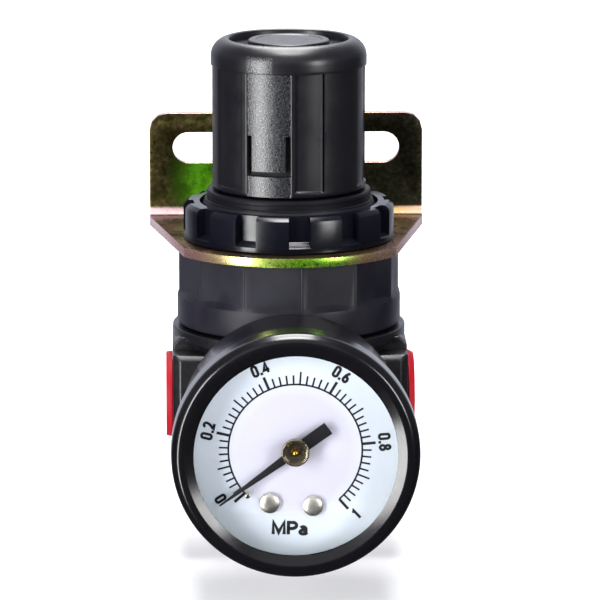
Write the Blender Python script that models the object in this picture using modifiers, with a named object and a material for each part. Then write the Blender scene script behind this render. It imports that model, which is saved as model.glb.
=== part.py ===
"""Mini pressure regulator with a round gauge, on an angle bracket.

A black die-cast body with two ports carries a moulded spring bonnet, and a notched ring nut clamps an
angle bracket between them. Turning the knob drives a nut down on the pressure spring, which pushes a
diaphragm and opens a poppet valve in the body. The gauge at the front holds a Bourdon tube movement.

The regulator's own frame has +Z up its vertical axis, X through the ports and -Y towards the gauge,
with z = 0 at the ports. The world origin is on the bracket's mounting face, midway between its slots.
"""

import math

import bmesh
import bpy
from mathutils import Matrix, Vector

MM = 0.001

# Clearances
ROUND_GAP = 0.3 * MM  # a thread, shaft or ring in its bore
FACE_GAP = 0.05 * MM  # flat faces that rest on each other
PIVOT_GAP = 0.12 * MM  # an arbor or pin of the gauge movement in its hole
SLIDE_GAP = 0.4 * MM  # a piece that slides on another
BREAK = 0.4 * MM  # a broken outer edge
PAST = 1.0 * MM  # how far a cutter runs past a face
EMPTY_SIZE = 10.0 * MM  # how large an axis is drawn

# Facets round a full turn
FACETS = 32
SMALL_FACETS = 16
FINE_FACETS = 8
BEZEL_FACETS = 40
COIL_FACETS = 10
WEDGE_STEPS = 3
PLUG_FACETS = 24

# Die-cast body
BODY_WIDTH = 40.0 * MM
BODY_DEPTH = 28.0 * MM
BLOCK_ABOVE = 9.4 * MM
BLOCK_BELOW = 9.5 * MM
BLOCK_CHAMFER = 1.2 * MM
BLOCK_EDGE = 0.85 * MM
SHOULDER_RISE = 2.3 * MM
SHOULDER_LENGTH = 18.0 * MM
SHOULDER_SLOPE = 1.3 * MM
UNDERCUT_HEIGHT = 1.3 * MM
UNDERCUT_DEPTH = 1.6 * MM
COLLAR_HEIGHT = 1.9 * MM
NECK_HEIGHT = 4.4 * MM
NECK_WALL = 2.6 * MM
BARREL_RADIUS = 15.0 * MM
BARREL_HEIGHT = 12.0 * MM
BARREL_TAPER = 0.8 * MM

# Ports
PORT_RADIUS = 6.2 * MM
PORT_DEPTH = 11.0 * MM
PASSAGE_RADIUS = 2.2 * MM
GAUGE_PORT_RADIUS = 4.4 * MM
GAUGE_PORT_DEPTH = 7.0 * MM
SENSE_RADIUS = 0.8 * MM

# Valve
SEAT_DROP = 2.0 * MM
ORIFICE_LENGTH = 3.0 * MM
ORIFICE_RADIUS = 2.7 * MM
UPPER_CHAMBER_RADIUS = 5.0 * MM
UPPER_CHAMBER_HEIGHT = 7.0 * MM
GUIDE_WEB = 3.0 * MM
LOWER_CHAMBER_RADIUS = 6.0 * MM
STEM_RADIUS = 1.2 * MM
POPPET_RADIUS = 4.4 * MM
POPPET_HEIGHT = 2.1 * MM
SEAL_HEIGHT = 1.1 * MM
TAIL_RADIUS = 1.6 * MM
TAIL_LENGTH = 10.5 * MM
VALVE_STROKE = 0.8 * MM

# Bottom plug
PLUG_FLATS = 17.0 * MM
PLUG_HEAD = 3.9 * MM
PLUG_REACH = 9.0 * MM
PLUG_CUP = 1.5 * MM
PLUG_CUP_WALL = 1.4 * MM
PLUG_CHAMFER_ANGLE = math.radians(30.0)
O_RING = 1.7 * MM
RETURN_WIRE = 0.6 * MM
RETURN_TURNS = 4.5

# Bonnet
SKIRT_RADIUS = 19.15 * MM
SKIRT_WALL = 1.55 * MM
SKIRT_HEIGHT = 5.2 * MM
SKIRT_LIFT = 0.4 * MM
FLATS_COUNT = 12
FLATS_RADIUS = 19.0 * MM
FLATS_HEIGHT = 7.7 * MM
FLATS_TURN = math.radians(5.3)
BONNET_ROOF = 2.4 * MM
THREAD_STEP = 0.95 * MM
COLLAR_STEP = 0.85 * MM
BONNET_COLLAR = 2.15 * MM
GUIDE_HEIGHT = 10.5 * MM
GUIDE_WALL = 1.5 * MM
GUIDE_WEB_HEIGHT = 3.0 * MM
LOCK_TEETH = 12
LOCK_WIDTH = 1.6 * MM
LOCK_HEIGHT = 2.0 * MM
LOCK_STAND = 0.4 * MM

# Diaphragm and the two plates that hold its middle
DIAPHRAGM_BEAD = 1.3 * MM
DIAPHRAGM_SHEET = 0.9 * MM
DIAPHRAGM_LOOP = 1.0 * MM
LOOP_WIDTH = 2.4 * MM
PLATE_THICKNESS = 1.6 * MM
PLATE_BOSS = 2.6 * MM
HUB_THICKNESS = 1.3 * MM
HUB_INSET = 1.7 * MM
RIVET_RADIUS = 2.0 * MM
RELIEF_RADIUS = 0.8 * MM

# Adjusting screw, its nut and the pressure spring
SCREW_RADIUS = 4.0 * MM
SCREW_COLLAR_RADIUS = 6.3 * MM
SCREW_COLLAR = 2.0 * MM
SCREW_HEX = 7.6 * MM
SCREW_BELOW_NUT = 1.2 * MM
WASHER = 0.8 * MM
NUT_HEIGHT = 5.0 * MM
SPRING_WIRE = 1.8 * MM
SPRING_TURNS = 5.0
SPRING_END_TURNS = 0.75

# Knob
KNOB_SKIRT_RADIUS = 13.2 * MM
KNOB_WALL = 1.3 * MM
KNOB_GUIDE_GAP = 0.7 * MM
KNOB_HEIGHT = 25.7 * MM
KNOB_CAP_STAND = 0.13 * MM
KNOB_CAP_HEIGHT = 4.5 * MM
KNOB_SHOULDER = 3.0 * MM
KNOB_DISH_RADIUS = 10.35 * MM
KNOB_DISH_DEPTH = 1.5 * MM
KNOB_ROOF = 2.5 * MM
KNOB_HUB_RADIUS = 6.2 * MM
KNOB_FOOT_TAPER = 0.5 * MM
KNOB_FOOT_BAND = 1.0 * MM
PANEL_DEPTH = 0.45 * MM
FROSTED_DEPTH = 0.15 * MM
TONGUE_ANGLE = math.radians(-16.8)
TONGUE_HALF_ANGLE = math.radians(17.5)
RIB_LEFT = math.radians(4.6)
RIB_RIGHT = math.radians(3.0)
LEFT_PANEL = math.radians(28.0)
RIGHT_PANEL = math.radians(21.0)
SIDE_PANEL_START = math.radians(77.75)
SIDE_PANEL = math.radians(36.0)
TONGUE_FOOT = 3.7 * MM
TONGUE_HEIGHT = 6.9 * MM
SLIT = 0.8 * MM
BADGE_RADIUS = 6.95 * MM
BADGE_RISE = 1.2 * MM
BADGE_STUB_RADIUS = 2.6 * MM

# Ring nut
RING_NUT_WALL = 2.75 * MM
RING_NUT_HEIGHT = 6.25 * MM
RING_NUT_CHAMFER = 0.85 * MM
NOTCH_COUNT = 12
NOTCH_WIDTH = 3.7 * MM
NOTCH_DEPTH = 1.7 * MM
NOTCH_FLOOR = 1.2 * MM
NOTCH_TURN = math.radians(4.6)

# Bracket
SHEET = 1.6 * MM
BRACKET_WIDTH = 47.7 * MM
BRACKET_BACK = 22.0 * MM
BRACKET_FRONT_RADIUS = 20.9 * MM
BRACKET_ARC_HALF_ANGLE = math.radians(60.0)
BRACKET_BEND = 1.6 * MM
UPRIGHT_HEIGHT = 18.0 * MM
UPRIGHT_CORNER = 3.0 * MM
SLOT_HEIGHT = 5.4 * MM
SLOT_LENGTH = 9.6 * MM
SLOT_MARGIN = 4.05 * MM  # from a slot's end to the bracket's edge
SLOT_RISE = 11.9 * MM

# Port plugs
DUST_FLANGE = 7.4 * MM
DUST_FLANGE_THICKNESS = 1.1 * MM
DUST_REACH = 8.0 * MM
DUST_TAPER = 0.5 * MM
DUST_WALL = 1.0 * MM
DUST_STANDOFF = {"left": 0.05 * MM, "right": 0.4 * MM}
REAR_PLUG_LENGTH = 5.6 * MM
REAR_PLUG_HEX = 4.0 * MM
REAR_PLUG_SOCKET = 2.8 * MM

# Gauge case. Depths along the gauge run forward from the regulator's vertical axis.
CASE_RADIUS = 18.78 * MM
CASE_WALL = 0.6 * MM
CASE_REAR = 22.9 * MM
CASE_ROUND = 1.2 * MM
BEZEL_STAND = 1.75 * MM
BEZEL_LENGTH = 8.8 * MM
BEZEL_OPENING = 16.8 * MM
BEZEL_LIP = 0.8 * MM
LENS_THICKNESS = 1.3 * MM
GASKET_THICKNESS = 0.8 * MM
GASKET_WIDTH = 1.1 * MM
DIAL_STANDOFF = 3.6 * MM  # from the movement's front plate to the dial
DIAL_THICKNESS = 0.6 * MM
DIAL_HOLE = 1.6 * MM
DIAL_TURN = math.radians(-4.0)

# Gauge socket
WRENCH_FLATS = 11.0 * MM
WRENCH_LENGTH = 6.2 * MM
SOCKET_NECK_RADIUS = 5.0 * MM
SOCKET_FLANGE_RADIUS = 8.4 * MM
SOCKET_FLANGE = 3.4 * MM
LUG_WIDTH = 10.0 * MM
LUG_LENGTH = 14.2 * MM
LUG_RISE = 4.4 * MM
CASE_SCREW_SPREAD = 6.9 * MM
CASE_SCREW_RADIUS = 0.8 * MM
CASE_SCREW_HEAD = 1.4 * MM
CASE_SCREW_LENGTH = 2.6 * MM

# Bourdon tube
TUBE_RADIUS = 12.2 * MM
TUBE_HEIGHT = 4.2 * MM
TUBE_FLATNESS = 0.36
TUBE_START = math.radians(-83.0)
TUBE_SPAN = math.radians(252.0)
TIP_SIZE = 2.6 * MM

# Movement
MOVEMENT_GAP = 7.0 * MM
MOVEMENT_PLATE = 0.8 * MM
MOVEMENT_HALF_WIDTH = 4.2 * MM
TOOTH_MODULE = 0.25 * MM
PINION_TEETH = 9
SECTOR_RATIO = 8
SECTOR_CUT_TEETH = 11
SECTOR_TEETH_BEFORE = 2
PRESSURE_ANGLE = math.radians(20.0)
ADDENDUM = 0.72
DEDENDUM = 1.05
BACKLASH = 0.05 * MM
PIVOT_DIRECTION = math.radians(-150.0)
SECTOR_THICKNESS = 0.9 * MM
SECTOR_RISE = 3.4 * MM
TAIL_ARM = 4.2 * MM
TAIL_DIRECTION = math.radians(73.5)
ARBOR_RADIUS = 0.5 * MM
PINION_WIDTH = 2.4 * MM
PILLAR_RADIUS = 0.9 * MM
LINK_THICKNESS = 0.5 * MM
LINK_PIN_RADIUS = 0.35 * MM
HAIR_THICKNESS = 0.14 * MM
HAIR_WIDTH = 0.7 * MM
HAIR_INNER = 1.7 * MM
HAIR_PITCH = 0.55 * MM
HAIR_TURNS = 3.0
HAIR_RISE = 1.2 * MM

# Pointer and dial furniture
POINTER_REST = math.radians(-126.0)
POINTER_THICKNESS = 0.35 * MM
POINTER_LENGTH = 15.0 * MM
POINTER_TAIL = 6.7 * MM
POINTER_LIFT = 1.0 * MM
POINTER_TIP_WIDTH = 0.26 * MM
POINTER_ROOT_WIDTH = 1.3 * MM
POINTER_TAIL_WIDTH = 2.3 * MM
POINTER_HUB_RADIUS = 2.2 * MM
POINTER_HUB_NECK = 1.2 * MM
POINTER_HUB_HEIGHT = 1.2 * MM
SPINDLE_PROUD = 0.4 * MM
DIAL_SCREW_SPACING = 7.16 * MM
DIAL_SCREW_DROP = 9.2 * MM
DIAL_SCREW_HEAD = 1.75 * MM
DIAL_SCREW_DOME = 0.95 * MM
DIAL_SCREW_SHANK = 0.8 * MM
DIAL_SCREW_GRIP = 2.5 * MM
DIAL_POST_RADIUS = 1.5 * MM
STOP_PIN_RADIUS = 0.45 * MM
STOP_PIN_AT = 10.8 * MM
STOP_PIN_DIRECTION = math.radians(-132.8)
STOP_PIN_RISE = 2.1 * MM

# Heights that follow from the sizes above
BLOCK_TOP = BLOCK_ABOVE
COLLAR_BASE = BLOCK_TOP + UNDERCUT_HEIGHT
COLLAR_TOP = COLLAR_BASE + COLLAR_HEIGHT
NECK_TOP = COLLAR_TOP + NECK_HEIGHT
BODY_FOOT = -BLOCK_BELOW - BARREL_HEIGHT
SEAT_Z = -SEAT_DROP
UPPER_FLOOR = SEAT_Z + ORIFICE_LENGTH
UPPER_CEILING = UPPER_FLOOR + UPPER_CHAMBER_HEIGHT
CHAMBER_FLOOR = UPPER_CEILING + GUIDE_WEB
BEAD_BASE = NECK_TOP + FACE_GAP
BEAD_TOP = BEAD_BASE + DIAPHRAGM_BEAD
BONNET_SHOULDER = BEAD_TOP + FACE_GAP
SHEET_BASE = BEAD_BASE + (DIAPHRAGM_BEAD - DIAPHRAGM_SHEET) / 2
SHEET_TOP = SHEET_BASE + DIAPHRAGM_SHEET
PLATE_BASE = SHEET_TOP + FACE_GAP
SPRING_SEAT = PLATE_BASE + PLATE_THICKNESS
HUB_TOP = SHEET_BASE - FACE_GAP
HUB_BASE = HUB_TOP - HUB_THICKNESS
BONNET_FOOT = COLLAR_TOP + SKIRT_LIFT
FLATS_BASE = BONNET_FOOT + SKIRT_HEIGHT
FLATS_TOP = FLATS_BASE + FLATS_HEIGHT
CHAMBER_CEILING = FLATS_TOP - BONNET_ROOF
SHELF_BASE = FLATS_TOP + FACE_GAP
SHELF_TOP = SHELF_BASE + SHEET
RING_NUT_BASE = SHELF_TOP + FACE_GAP
RING_NUT_TOP = RING_NUT_BASE + RING_NUT_HEIGHT
COLLAR_RIM = RING_NUT_TOP + BONNET_COLLAR
GUIDE_TOP = COLLAR_RIM + GUIDE_HEIGHT
WEB_BASE = GUIDE_TOP - GUIDE_WEB_HEIGHT
KNOB_FOOT = COLLAR_RIM + ROUND_GAP
KNOB_TOP = KNOB_FOOT + KNOB_HEIGHT
DISH_FLOOR = KNOB_TOP - KNOB_DISH_DEPTH
KNOB_CEILING = DISH_FLOOR - KNOB_ROOF
KNOB_LIP = KNOB_TOP - KNOB_CAP_HEIGHT
SLOT_Z = SHELF_TOP + SLOT_RISE
LOCK_BASE = COLLAR_RIM + LOCK_HEIGHT / 2
LOCK_TOP = LOCK_BASE + LOCK_HEIGHT

# Radii that follow
COLLAR_RADIUS = BODY_WIDTH / 2
SKIRT_BORE = SKIRT_RADIUS - SKIRT_WALL
NECK_RADIUS = SKIRT_BORE - ROUND_GAP
CHAMBER_RADIUS = NECK_RADIUS - NECK_WALL
BEAD_RADIUS = NECK_RADIUS - ROUND_GAP
GUIDE_RADIUS = KNOB_SKIRT_RADIUS - KNOB_WALL - KNOB_GUIDE_GAP
GUIDE_BORE_CORNER = GUIDE_RADIUS - GUIDE_WALL
GUIDE_BORE_HALF_FLATS = GUIDE_BORE_CORNER * math.cos(math.pi / 6)
BONNET_COLLAR_RADIUS = KNOB_SKIRT_RADIUS + COLLAR_STEP
THREAD_RADIUS = BONNET_COLLAR_RADIUS + THREAD_STEP
RING_NUT_BORE = THREAD_RADIUS + ROUND_GAP
RING_NUT_RADIUS = RING_NUT_BORE + RING_NUT_WALL
SPRING_RADIUS = GUIDE_BORE_HALF_FLATS - SLIDE_GAP - SPRING_WIRE / 2
PLATE_RADIUS = CHAMBER_RADIUS - LOOP_WIDTH
PLUG_NECK = LOWER_CHAMBER_RADIUS - ROUND_GAP
SEAL_BORE = STEM_RADIUS + ROUND_GAP
RETURN_RADIUS = (PLUG_NECK - PLUG_CUP_WALL + TAIL_RADIUS) / 2
CASE_BORE = CASE_RADIUS - CASE_WALL
BEZEL_BORE = CASE_RADIUS + ROUND_GAP
BEZEL_RADIUS = CASE_RADIUS + BEZEL_STAND
BADGE_HOLE = BADGE_STUB_RADIUS + ROUND_GAP

# The adjusting train, from the web down
WASHER_TOP = WEB_BASE - FACE_GAP
WASHER_BASE = WASHER_TOP - WASHER
SCREW_COLLAR_TOP = WASHER_BASE - FACE_GAP
SCREW_COLLAR_BASE = SCREW_COLLAR_TOP - SCREW_COLLAR
NUT_TOP = SCREW_COLLAR_BASE - SLIDE_GAP
NUT_BASE = NUT_TOP - NUT_HEIGHT
SCREW_PITCH = 1.25 * MM
KNOB_TURNS = 3.75
NUT_TRAVEL = SCREW_PITCH * KNOB_TURNS
SCREW_FOOT = NUT_BASE - NUT_TRAVEL - SCREW_BELOW_NUT

# Poppet and bottom plug
SEAL_TOP = SEAT_Z - FACE_GAP
SEAL_BASE = SEAL_TOP - SEAL_HEIGHT
POPPET_TOP = SEAL_BASE - FACE_GAP
POPPET_BASE = POPPET_TOP - POPPET_HEIGHT
STEM_TOP = HUB_BASE - FACE_GAP
STEM_FOOT = POPPET_BASE - TAIL_LENGTH
PLUG_SEAT = BODY_FOOT - FACE_GAP
PLUG_FOOT = PLUG_SEAT - PLUG_HEAD
PLUG_TOP = PLUG_SEAT + PLUG_REACH
RETURN_SEAT = PLUG_TOP - PLUG_CUP
TAIL_BORE_FOOT = STEM_FOOT - VALVE_STROKE - SLIDE_GAP

# Gauge depths, forward from the regulator's axis
BODY_FRONT = BODY_DEPTH / 2
THREAD_END = BODY_FRONT - GAUGE_PORT_DEPTH + SLIDE_GAP
WRENCH_BACK = BODY_FRONT + FACE_GAP * 4
WRENCH_FRONT = WRENCH_BACK + WRENCH_LENGTH
CASE_FLOOR = CASE_REAR + CASE_WALL
FLANGE_BACK = CASE_FLOOR + FACE_GAP
FLANGE_FRONT = FLANGE_BACK + SOCKET_FLANGE
LUG_FRONT = FLANGE_FRONT + LUG_RISE
TUBE_MIDDLE = (FLANGE_BACK + LUG_FRONT) / 2 + SLIDE_GAP
BACK_PLATE = LUG_FRONT + FACE_GAP
BACK_PLATE_FRONT = BACK_PLATE + MOVEMENT_PLATE
FRONT_PLATE = BACK_PLATE_FRONT + MOVEMENT_GAP
FRONT_PLATE_FRONT = FRONT_PLATE + MOVEMENT_PLATE
DIAL_BACK = FRONT_PLATE_FRONT + DIAL_STANDOFF
DIAL_FRONT = DIAL_BACK + DIAL_THICKNESS
POINTER_BACK = DIAL_FRONT + POINTER_LIFT
POINTER_FRONT = POINTER_BACK + POINTER_THICKNESS
HUB_FRONT = POINTER_FRONT + FACE_GAP + POINTER_HUB_HEIGHT
LENS_BACK = HUB_FRONT + SPINDLE_PROUD + ROUND_GAP
LENS_FRONT = LENS_BACK + LENS_THICKNESS
GASKET_BACK = LENS_BACK - FACE_GAP - GASKET_THICKNESS
CASE_FRONT = GASKET_BACK - FACE_GAP
BEZEL_FRONT = LENS_FRONT + ROUND_GAP + BEZEL_LIP
SECTOR_BACK = BACK_PLATE_FRONT + SECTOR_RISE
SECTOR_FRONT = SECTOR_BACK + SECTOR_THICKNESS
LINK_BACK = SECTOR_FRONT + SLIDE_GAP
LINK_FRONT = LINK_BACK + LINK_THICKNESS

# The gear pair: the sector's full wheel has SECTOR_RATIO times the pinion's teeth
PINION_PITCH_RADIUS = TOOTH_MODULE * PINION_TEETH / 2
SECTOR_PITCH_RADIUS = PINION_PITCH_RADIUS * SECTOR_RATIO
GEAR_CENTRES = PINION_PITCH_RADIUS + SECTOR_PITCH_RADIUS
PIVOT = Vector((GEAR_CENTRES * math.cos(PIVOT_DIRECTION), GEAR_CENTRES * math.sin(PIVOT_DIRECTION), 0.0))
TAIL_PIN = PIVOT + TAIL_ARM * Vector((math.cos(TAIL_DIRECTION), math.sin(TAIL_DIRECTION), 0.0))
TUBE_END = TUBE_START + TUBE_SPAN

# Colour, roughness and metallic value of each finish
FINISHES = {
    "black paint": ((0.012, 0.012, 0.014), 0.35, 0.0),
    "black resin": ((0.025, 0.025, 0.030), 0.45, 0.0),
    "gloss black resin": ((0.010, 0.010, 0.012), 0.20, 0.0),
    "yellow zinc": ((0.420, 0.360, 0.120), 0.30, 1.0),
    "red plastic": ((0.720, 0.010, 0.025), 0.40, 0.0),
    "rubber": ((0.020, 0.020, 0.020), 0.80, 0.0),
    "spring steel": ((0.400, 0.390, 0.370), 0.35, 1.0),
    "brass": ((0.560, 0.400, 0.150), 0.35, 1.0),
    "bronze": ((0.420, 0.250, 0.110), 0.40, 1.0),
    "nickel": ((0.620, 0.600, 0.560), 0.22, 1.0),
    "steel": ((0.450, 0.450, 0.450), 0.40, 1.0),
    "white enamel": ((0.780, 0.830, 0.880), 0.40, 0.0),
    "clear plastic": ((0.900, 0.920, 0.930), 0.05, 0.0),
}


def clear_scene():
    for obj in list(bpy.data.objects):
        bpy.data.objects.remove(obj)


def add_collection(name):
    collection = bpy.data.collections.new(name)
    bpy.context.scene.collection.children.link(collection)
    return collection


def add_empty(name, parent=None, matrix=None):
    empty = bpy.data.objects.new(name, None)
    empty.empty_display_size = EMPTY_SIZE
    bpy.data.collections["mini_pressure_regulator"].objects.link(empty)
    empty.parent = parent
    empty.matrix_local = matrix or Matrix.Identity(4)
    return empty


def add_object(name, mesh):
    """A loose object at the origin, which place() or carve() takes up."""
    obj = bpy.data.objects.new(name, mesh)
    bpy.data.collections["mini_pressure_regulator"].objects.link(obj)
    return obj


def evaluated_mesh(obj):
    graph = bpy.context.evaluated_depsgraph_get()
    return bpy.data.meshes.new_from_object(obj.evaluated_get(graph))


def carve(target, tools, operation="DIFFERENCE"):
    """Cuts the tools from the target, or joins or intersects them, and removes them."""
    cutters = bpy.data.collections["cutters"]
    for tool in tools:
        cutters.objects.link(tool)
        bpy.data.collections["mini_pressure_regulator"].objects.unlink(tool)
        tool.hide_render = True
        tool.display_type = "WIRE"
        modifier = target.modifiers.new(tool.name, "BOOLEAN")
        modifier.operation = operation
        modifier.object = tool
    mesh = evaluated_mesh(target)
    target.modifiers.clear()
    target.data = mesh
    for tool in tools:
        bpy.data.objects.remove(tool)
    return target


def place(obj, parent, finish, origin=None):
    """Gives the object its parent, its material and, for a moving piece, its origin on the joint's axis."""
    origin = origin or Vector((0.0, 0.0, 0.0))
    obj.data.transform(Matrix.Translation(-origin))
    obj.parent = parent
    obj.location = origin
    colour, roughness, metallic = FINISHES[finish]
    material = bpy.data.materials.new(f"{obj.name} {finish}")
    material.use_nodes = True
    shader = material.node_tree.nodes["Principled BSDF"]
    shader.inputs["Base Color"].default_value = (*colour, 1.0)
    shader.inputs["Roughness"].default_value = roughness
    shader.inputs["Metallic"].default_value = metallic
    obj.data.materials.clear()
    obj.data.materials.append(material)
    obj.data.shade_smooth()
    obj.data.set_sharp_from_angle(angle=math.radians(32))
    return obj


def turned(name, profile, facets=FACETS):
    """Turns (radius, height) points about Z. They run down the outer side, and a ring's go back up its bore."""
    mesh = bpy.data.meshes.new(name)
    points = [(radius, 0.0, height) for radius, height in profile]
    edges = [(i, i + 1) for i in range(len(points) - 1)]
    if profile[0][0] > 0.0:
        edges.append((len(points) - 1, 0))
    mesh.from_pydata(points, edges, [])
    obj = add_object(name, mesh)
    screw = obj.modifiers.new("turn", "SCREW")
    screw.steps = facets
    screw.render_steps = facets
    screw.use_merge_vertices = True
    screw.merge_threshold = 0.001 * MM
    obj.data = evaluated_mesh(obj)
    obj.modifiers.clear()
    return obj


def cylinder(name, radius, low, high, facets=SMALL_FACETS, matrix=None, top_radius=None):
    bm = bmesh.new()
    middle = Matrix.Translation((0.0, 0.0, (low + high) / 2))
    bmesh.ops.create_cone(
        bm,
        cap_ends=True,
        segments=facets,
        radius1=radius,
        radius2=radius if top_radius is None else top_radius,
        depth=high - low,
        matrix=(matrix or Matrix.Identity(4)) @ middle,
    )
    return finish_bmesh(name, bm)


def prism(name, sides, corner_radius, low, high, turn=0.0):
    """A regular prism with its first corner at the angle turn."""
    bm = bmesh.new()
    bmesh.ops.create_circle(bm, cap_ends=True, segments=sides, radius=corner_radius)
    first = max(bm.verts, key=lambda v: v.co.x)
    spin = Matrix.Rotation(turn - math.atan2(first.co.y, first.co.x), 4, "Z")
    bmesh.ops.transform(bm, matrix=Matrix.Translation((0.0, 0.0, low)) @ spin, verts=bm.verts)
    raised = bmesh.ops.extrude_face_region(bm, geom=list(bm.faces))
    tops = [item for item in raised["geom"] if isinstance(item, bmesh.types.BMVert)]
    bmesh.ops.translate(bm, vec=(0.0, 0.0, high - low), verts=tops)
    return finish_bmesh(name, bm)


def boxes(name, corners, turns=(0.0,)):
    """One box for each turn about Z, between the two corners given."""
    low, high = (Vector(corner) for corner in corners)
    bm = bmesh.new()
    for turn in turns:
        matrix = Matrix.Rotation(turn, 4, "Z") @ Matrix.Translation((low + high) / 2)
        bmesh.ops.create_cube(bm, size=1.0, matrix=matrix @ Matrix.Diagonal((*(high - low), 1.0)))
    return finish_bmesh(name, bm)


def finish_bmesh(name, bm):
    bmesh.ops.recalc_face_normals(bm, faces=bm.faces)
    mesh = bpy.data.meshes.new(name)
    bm.to_mesh(mesh)
    bm.free()
    return add_object(name, mesh)


def plate(name, outline, low, high, holes=(), matrix=None):
    """A flat piece from its outline and holes, lists of (x, y), with its faces at the heights low and high."""
    curve = bpy.data.curves.new(name, "CURVE")
    curve.dimensions = "2D"
    curve.fill_mode = "BOTH"
    curve.extrude = (high - low) / 2
    for ring in (outline, *holes):
        spline = curve.splines.new("POLY")
        spline.points.add(len(ring) - 1)
        for point, (x, y) in zip(spline.points, ring):
            point.co = (x, y, 0.0, 1.0)
        spline.use_cyclic_u = True
    flat = add_object(name, curve)
    mesh = evaluated_mesh(flat)
    bpy.data.objects.remove(flat)
    mesh.transform((matrix or Matrix.Identity(4)) @ Matrix.Translation((0.0, 0.0, (low + high) / 2)))
    return add_object(name, welded(mesh))


def welded(mesh):
    bm = bmesh.new()
    bm.from_mesh(mesh)
    bmesh.ops.remove_doubles(bm, verts=bm.verts, dist=0.0001 * MM)
    bmesh.ops.recalc_face_normals(bm, faces=bm.faces)
    bm.to_mesh(mesh)
    bm.free()
    return mesh


def wire(name, points, radius, resolution=2):
    """A round wire along the points."""
    curve = bpy.data.curves.new(name, "CURVE")
    curve.dimensions = "3D"
    curve.bevel_depth = radius
    curve.bevel_resolution = resolution
    curve.use_fill_caps = True
    spline = curve.splines.new("POLY")
    spline.points.add(len(points) - 1)
    for point, place_at in zip(spline.points, points):
        point.co = (*place_at, 1.0)
    loose = add_object(name, curve)
    mesh = welded(evaluated_mesh(loose))
    bpy.data.objects.remove(loose)
    return add_object(name, mesh)


def arc(centre, radius, start, end, steps):
    """Points on an arc, both ends included."""
    angles = (start + (end - start) * i / steps for i in range(steps + 1))
    return [(centre[0] + radius * math.cos(a), centre[1] + radius * math.sin(a)) for a in angles]


def circle(centre, radius, facets=FINE_FACETS):
    return arc(centre, radius, 0.0, math.tau * (1 - 1 / facets), facets - 1)


def capsule(a, b, radius, steps=5):
    """The outline of two round ends joined by straight sides."""
    heading = math.atan2(b[1] - a[1], b[0] - a[0])
    quarter = math.pi / 2
    return arc(b, radius, heading - quarter, heading + quarter, steps) + arc(
        a, radius, heading + quarter, heading + 3 * quarter, steps
    )


def coil_points(radius, low, high, turns, end_turns, end_pitch, per_turn):
    """The centre line of a compression spring whose end turns lie close."""
    steps = round(turns * per_turn)
    middle_pitch = (high - low - 2 * end_turns * end_pitch) / (turns - 2 * end_turns)
    points = []
    for i in range(steps + 1):
        turn = turns * i / steps
        below = min(turn, end_turns)
        above = max(turn - (turns - end_turns), 0.0)
        height = low + (below + above) * end_pitch + (turn - below - above) * middle_pitch
        points.append((radius * math.cos(math.tau * turn), radius * math.sin(math.tau * turn), height))
    return points


def along_x(side):
    """Turns +Z to point out of the left or right port."""
    return Matrix.Rotation(side * math.pi / 2, 4, "Y")


FORWARD = Matrix.Rotation(math.pi / 2, 4, "X")  # turns +Z to point out of the gauge port
BACKWARD = Matrix.Rotation(-math.pi / 2, 4, "X")
# Turns a plate's X to Y and its Y to Z, so that it runs through along X
ACROSS = Matrix(((0.0, 0.0, 1.0, 0.0), (1.0, 0.0, 0.0, 0.0), (0.0, 1.0, 0.0, 0.0), (0.0, 0.0, 0.0, 1.0)))


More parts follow.
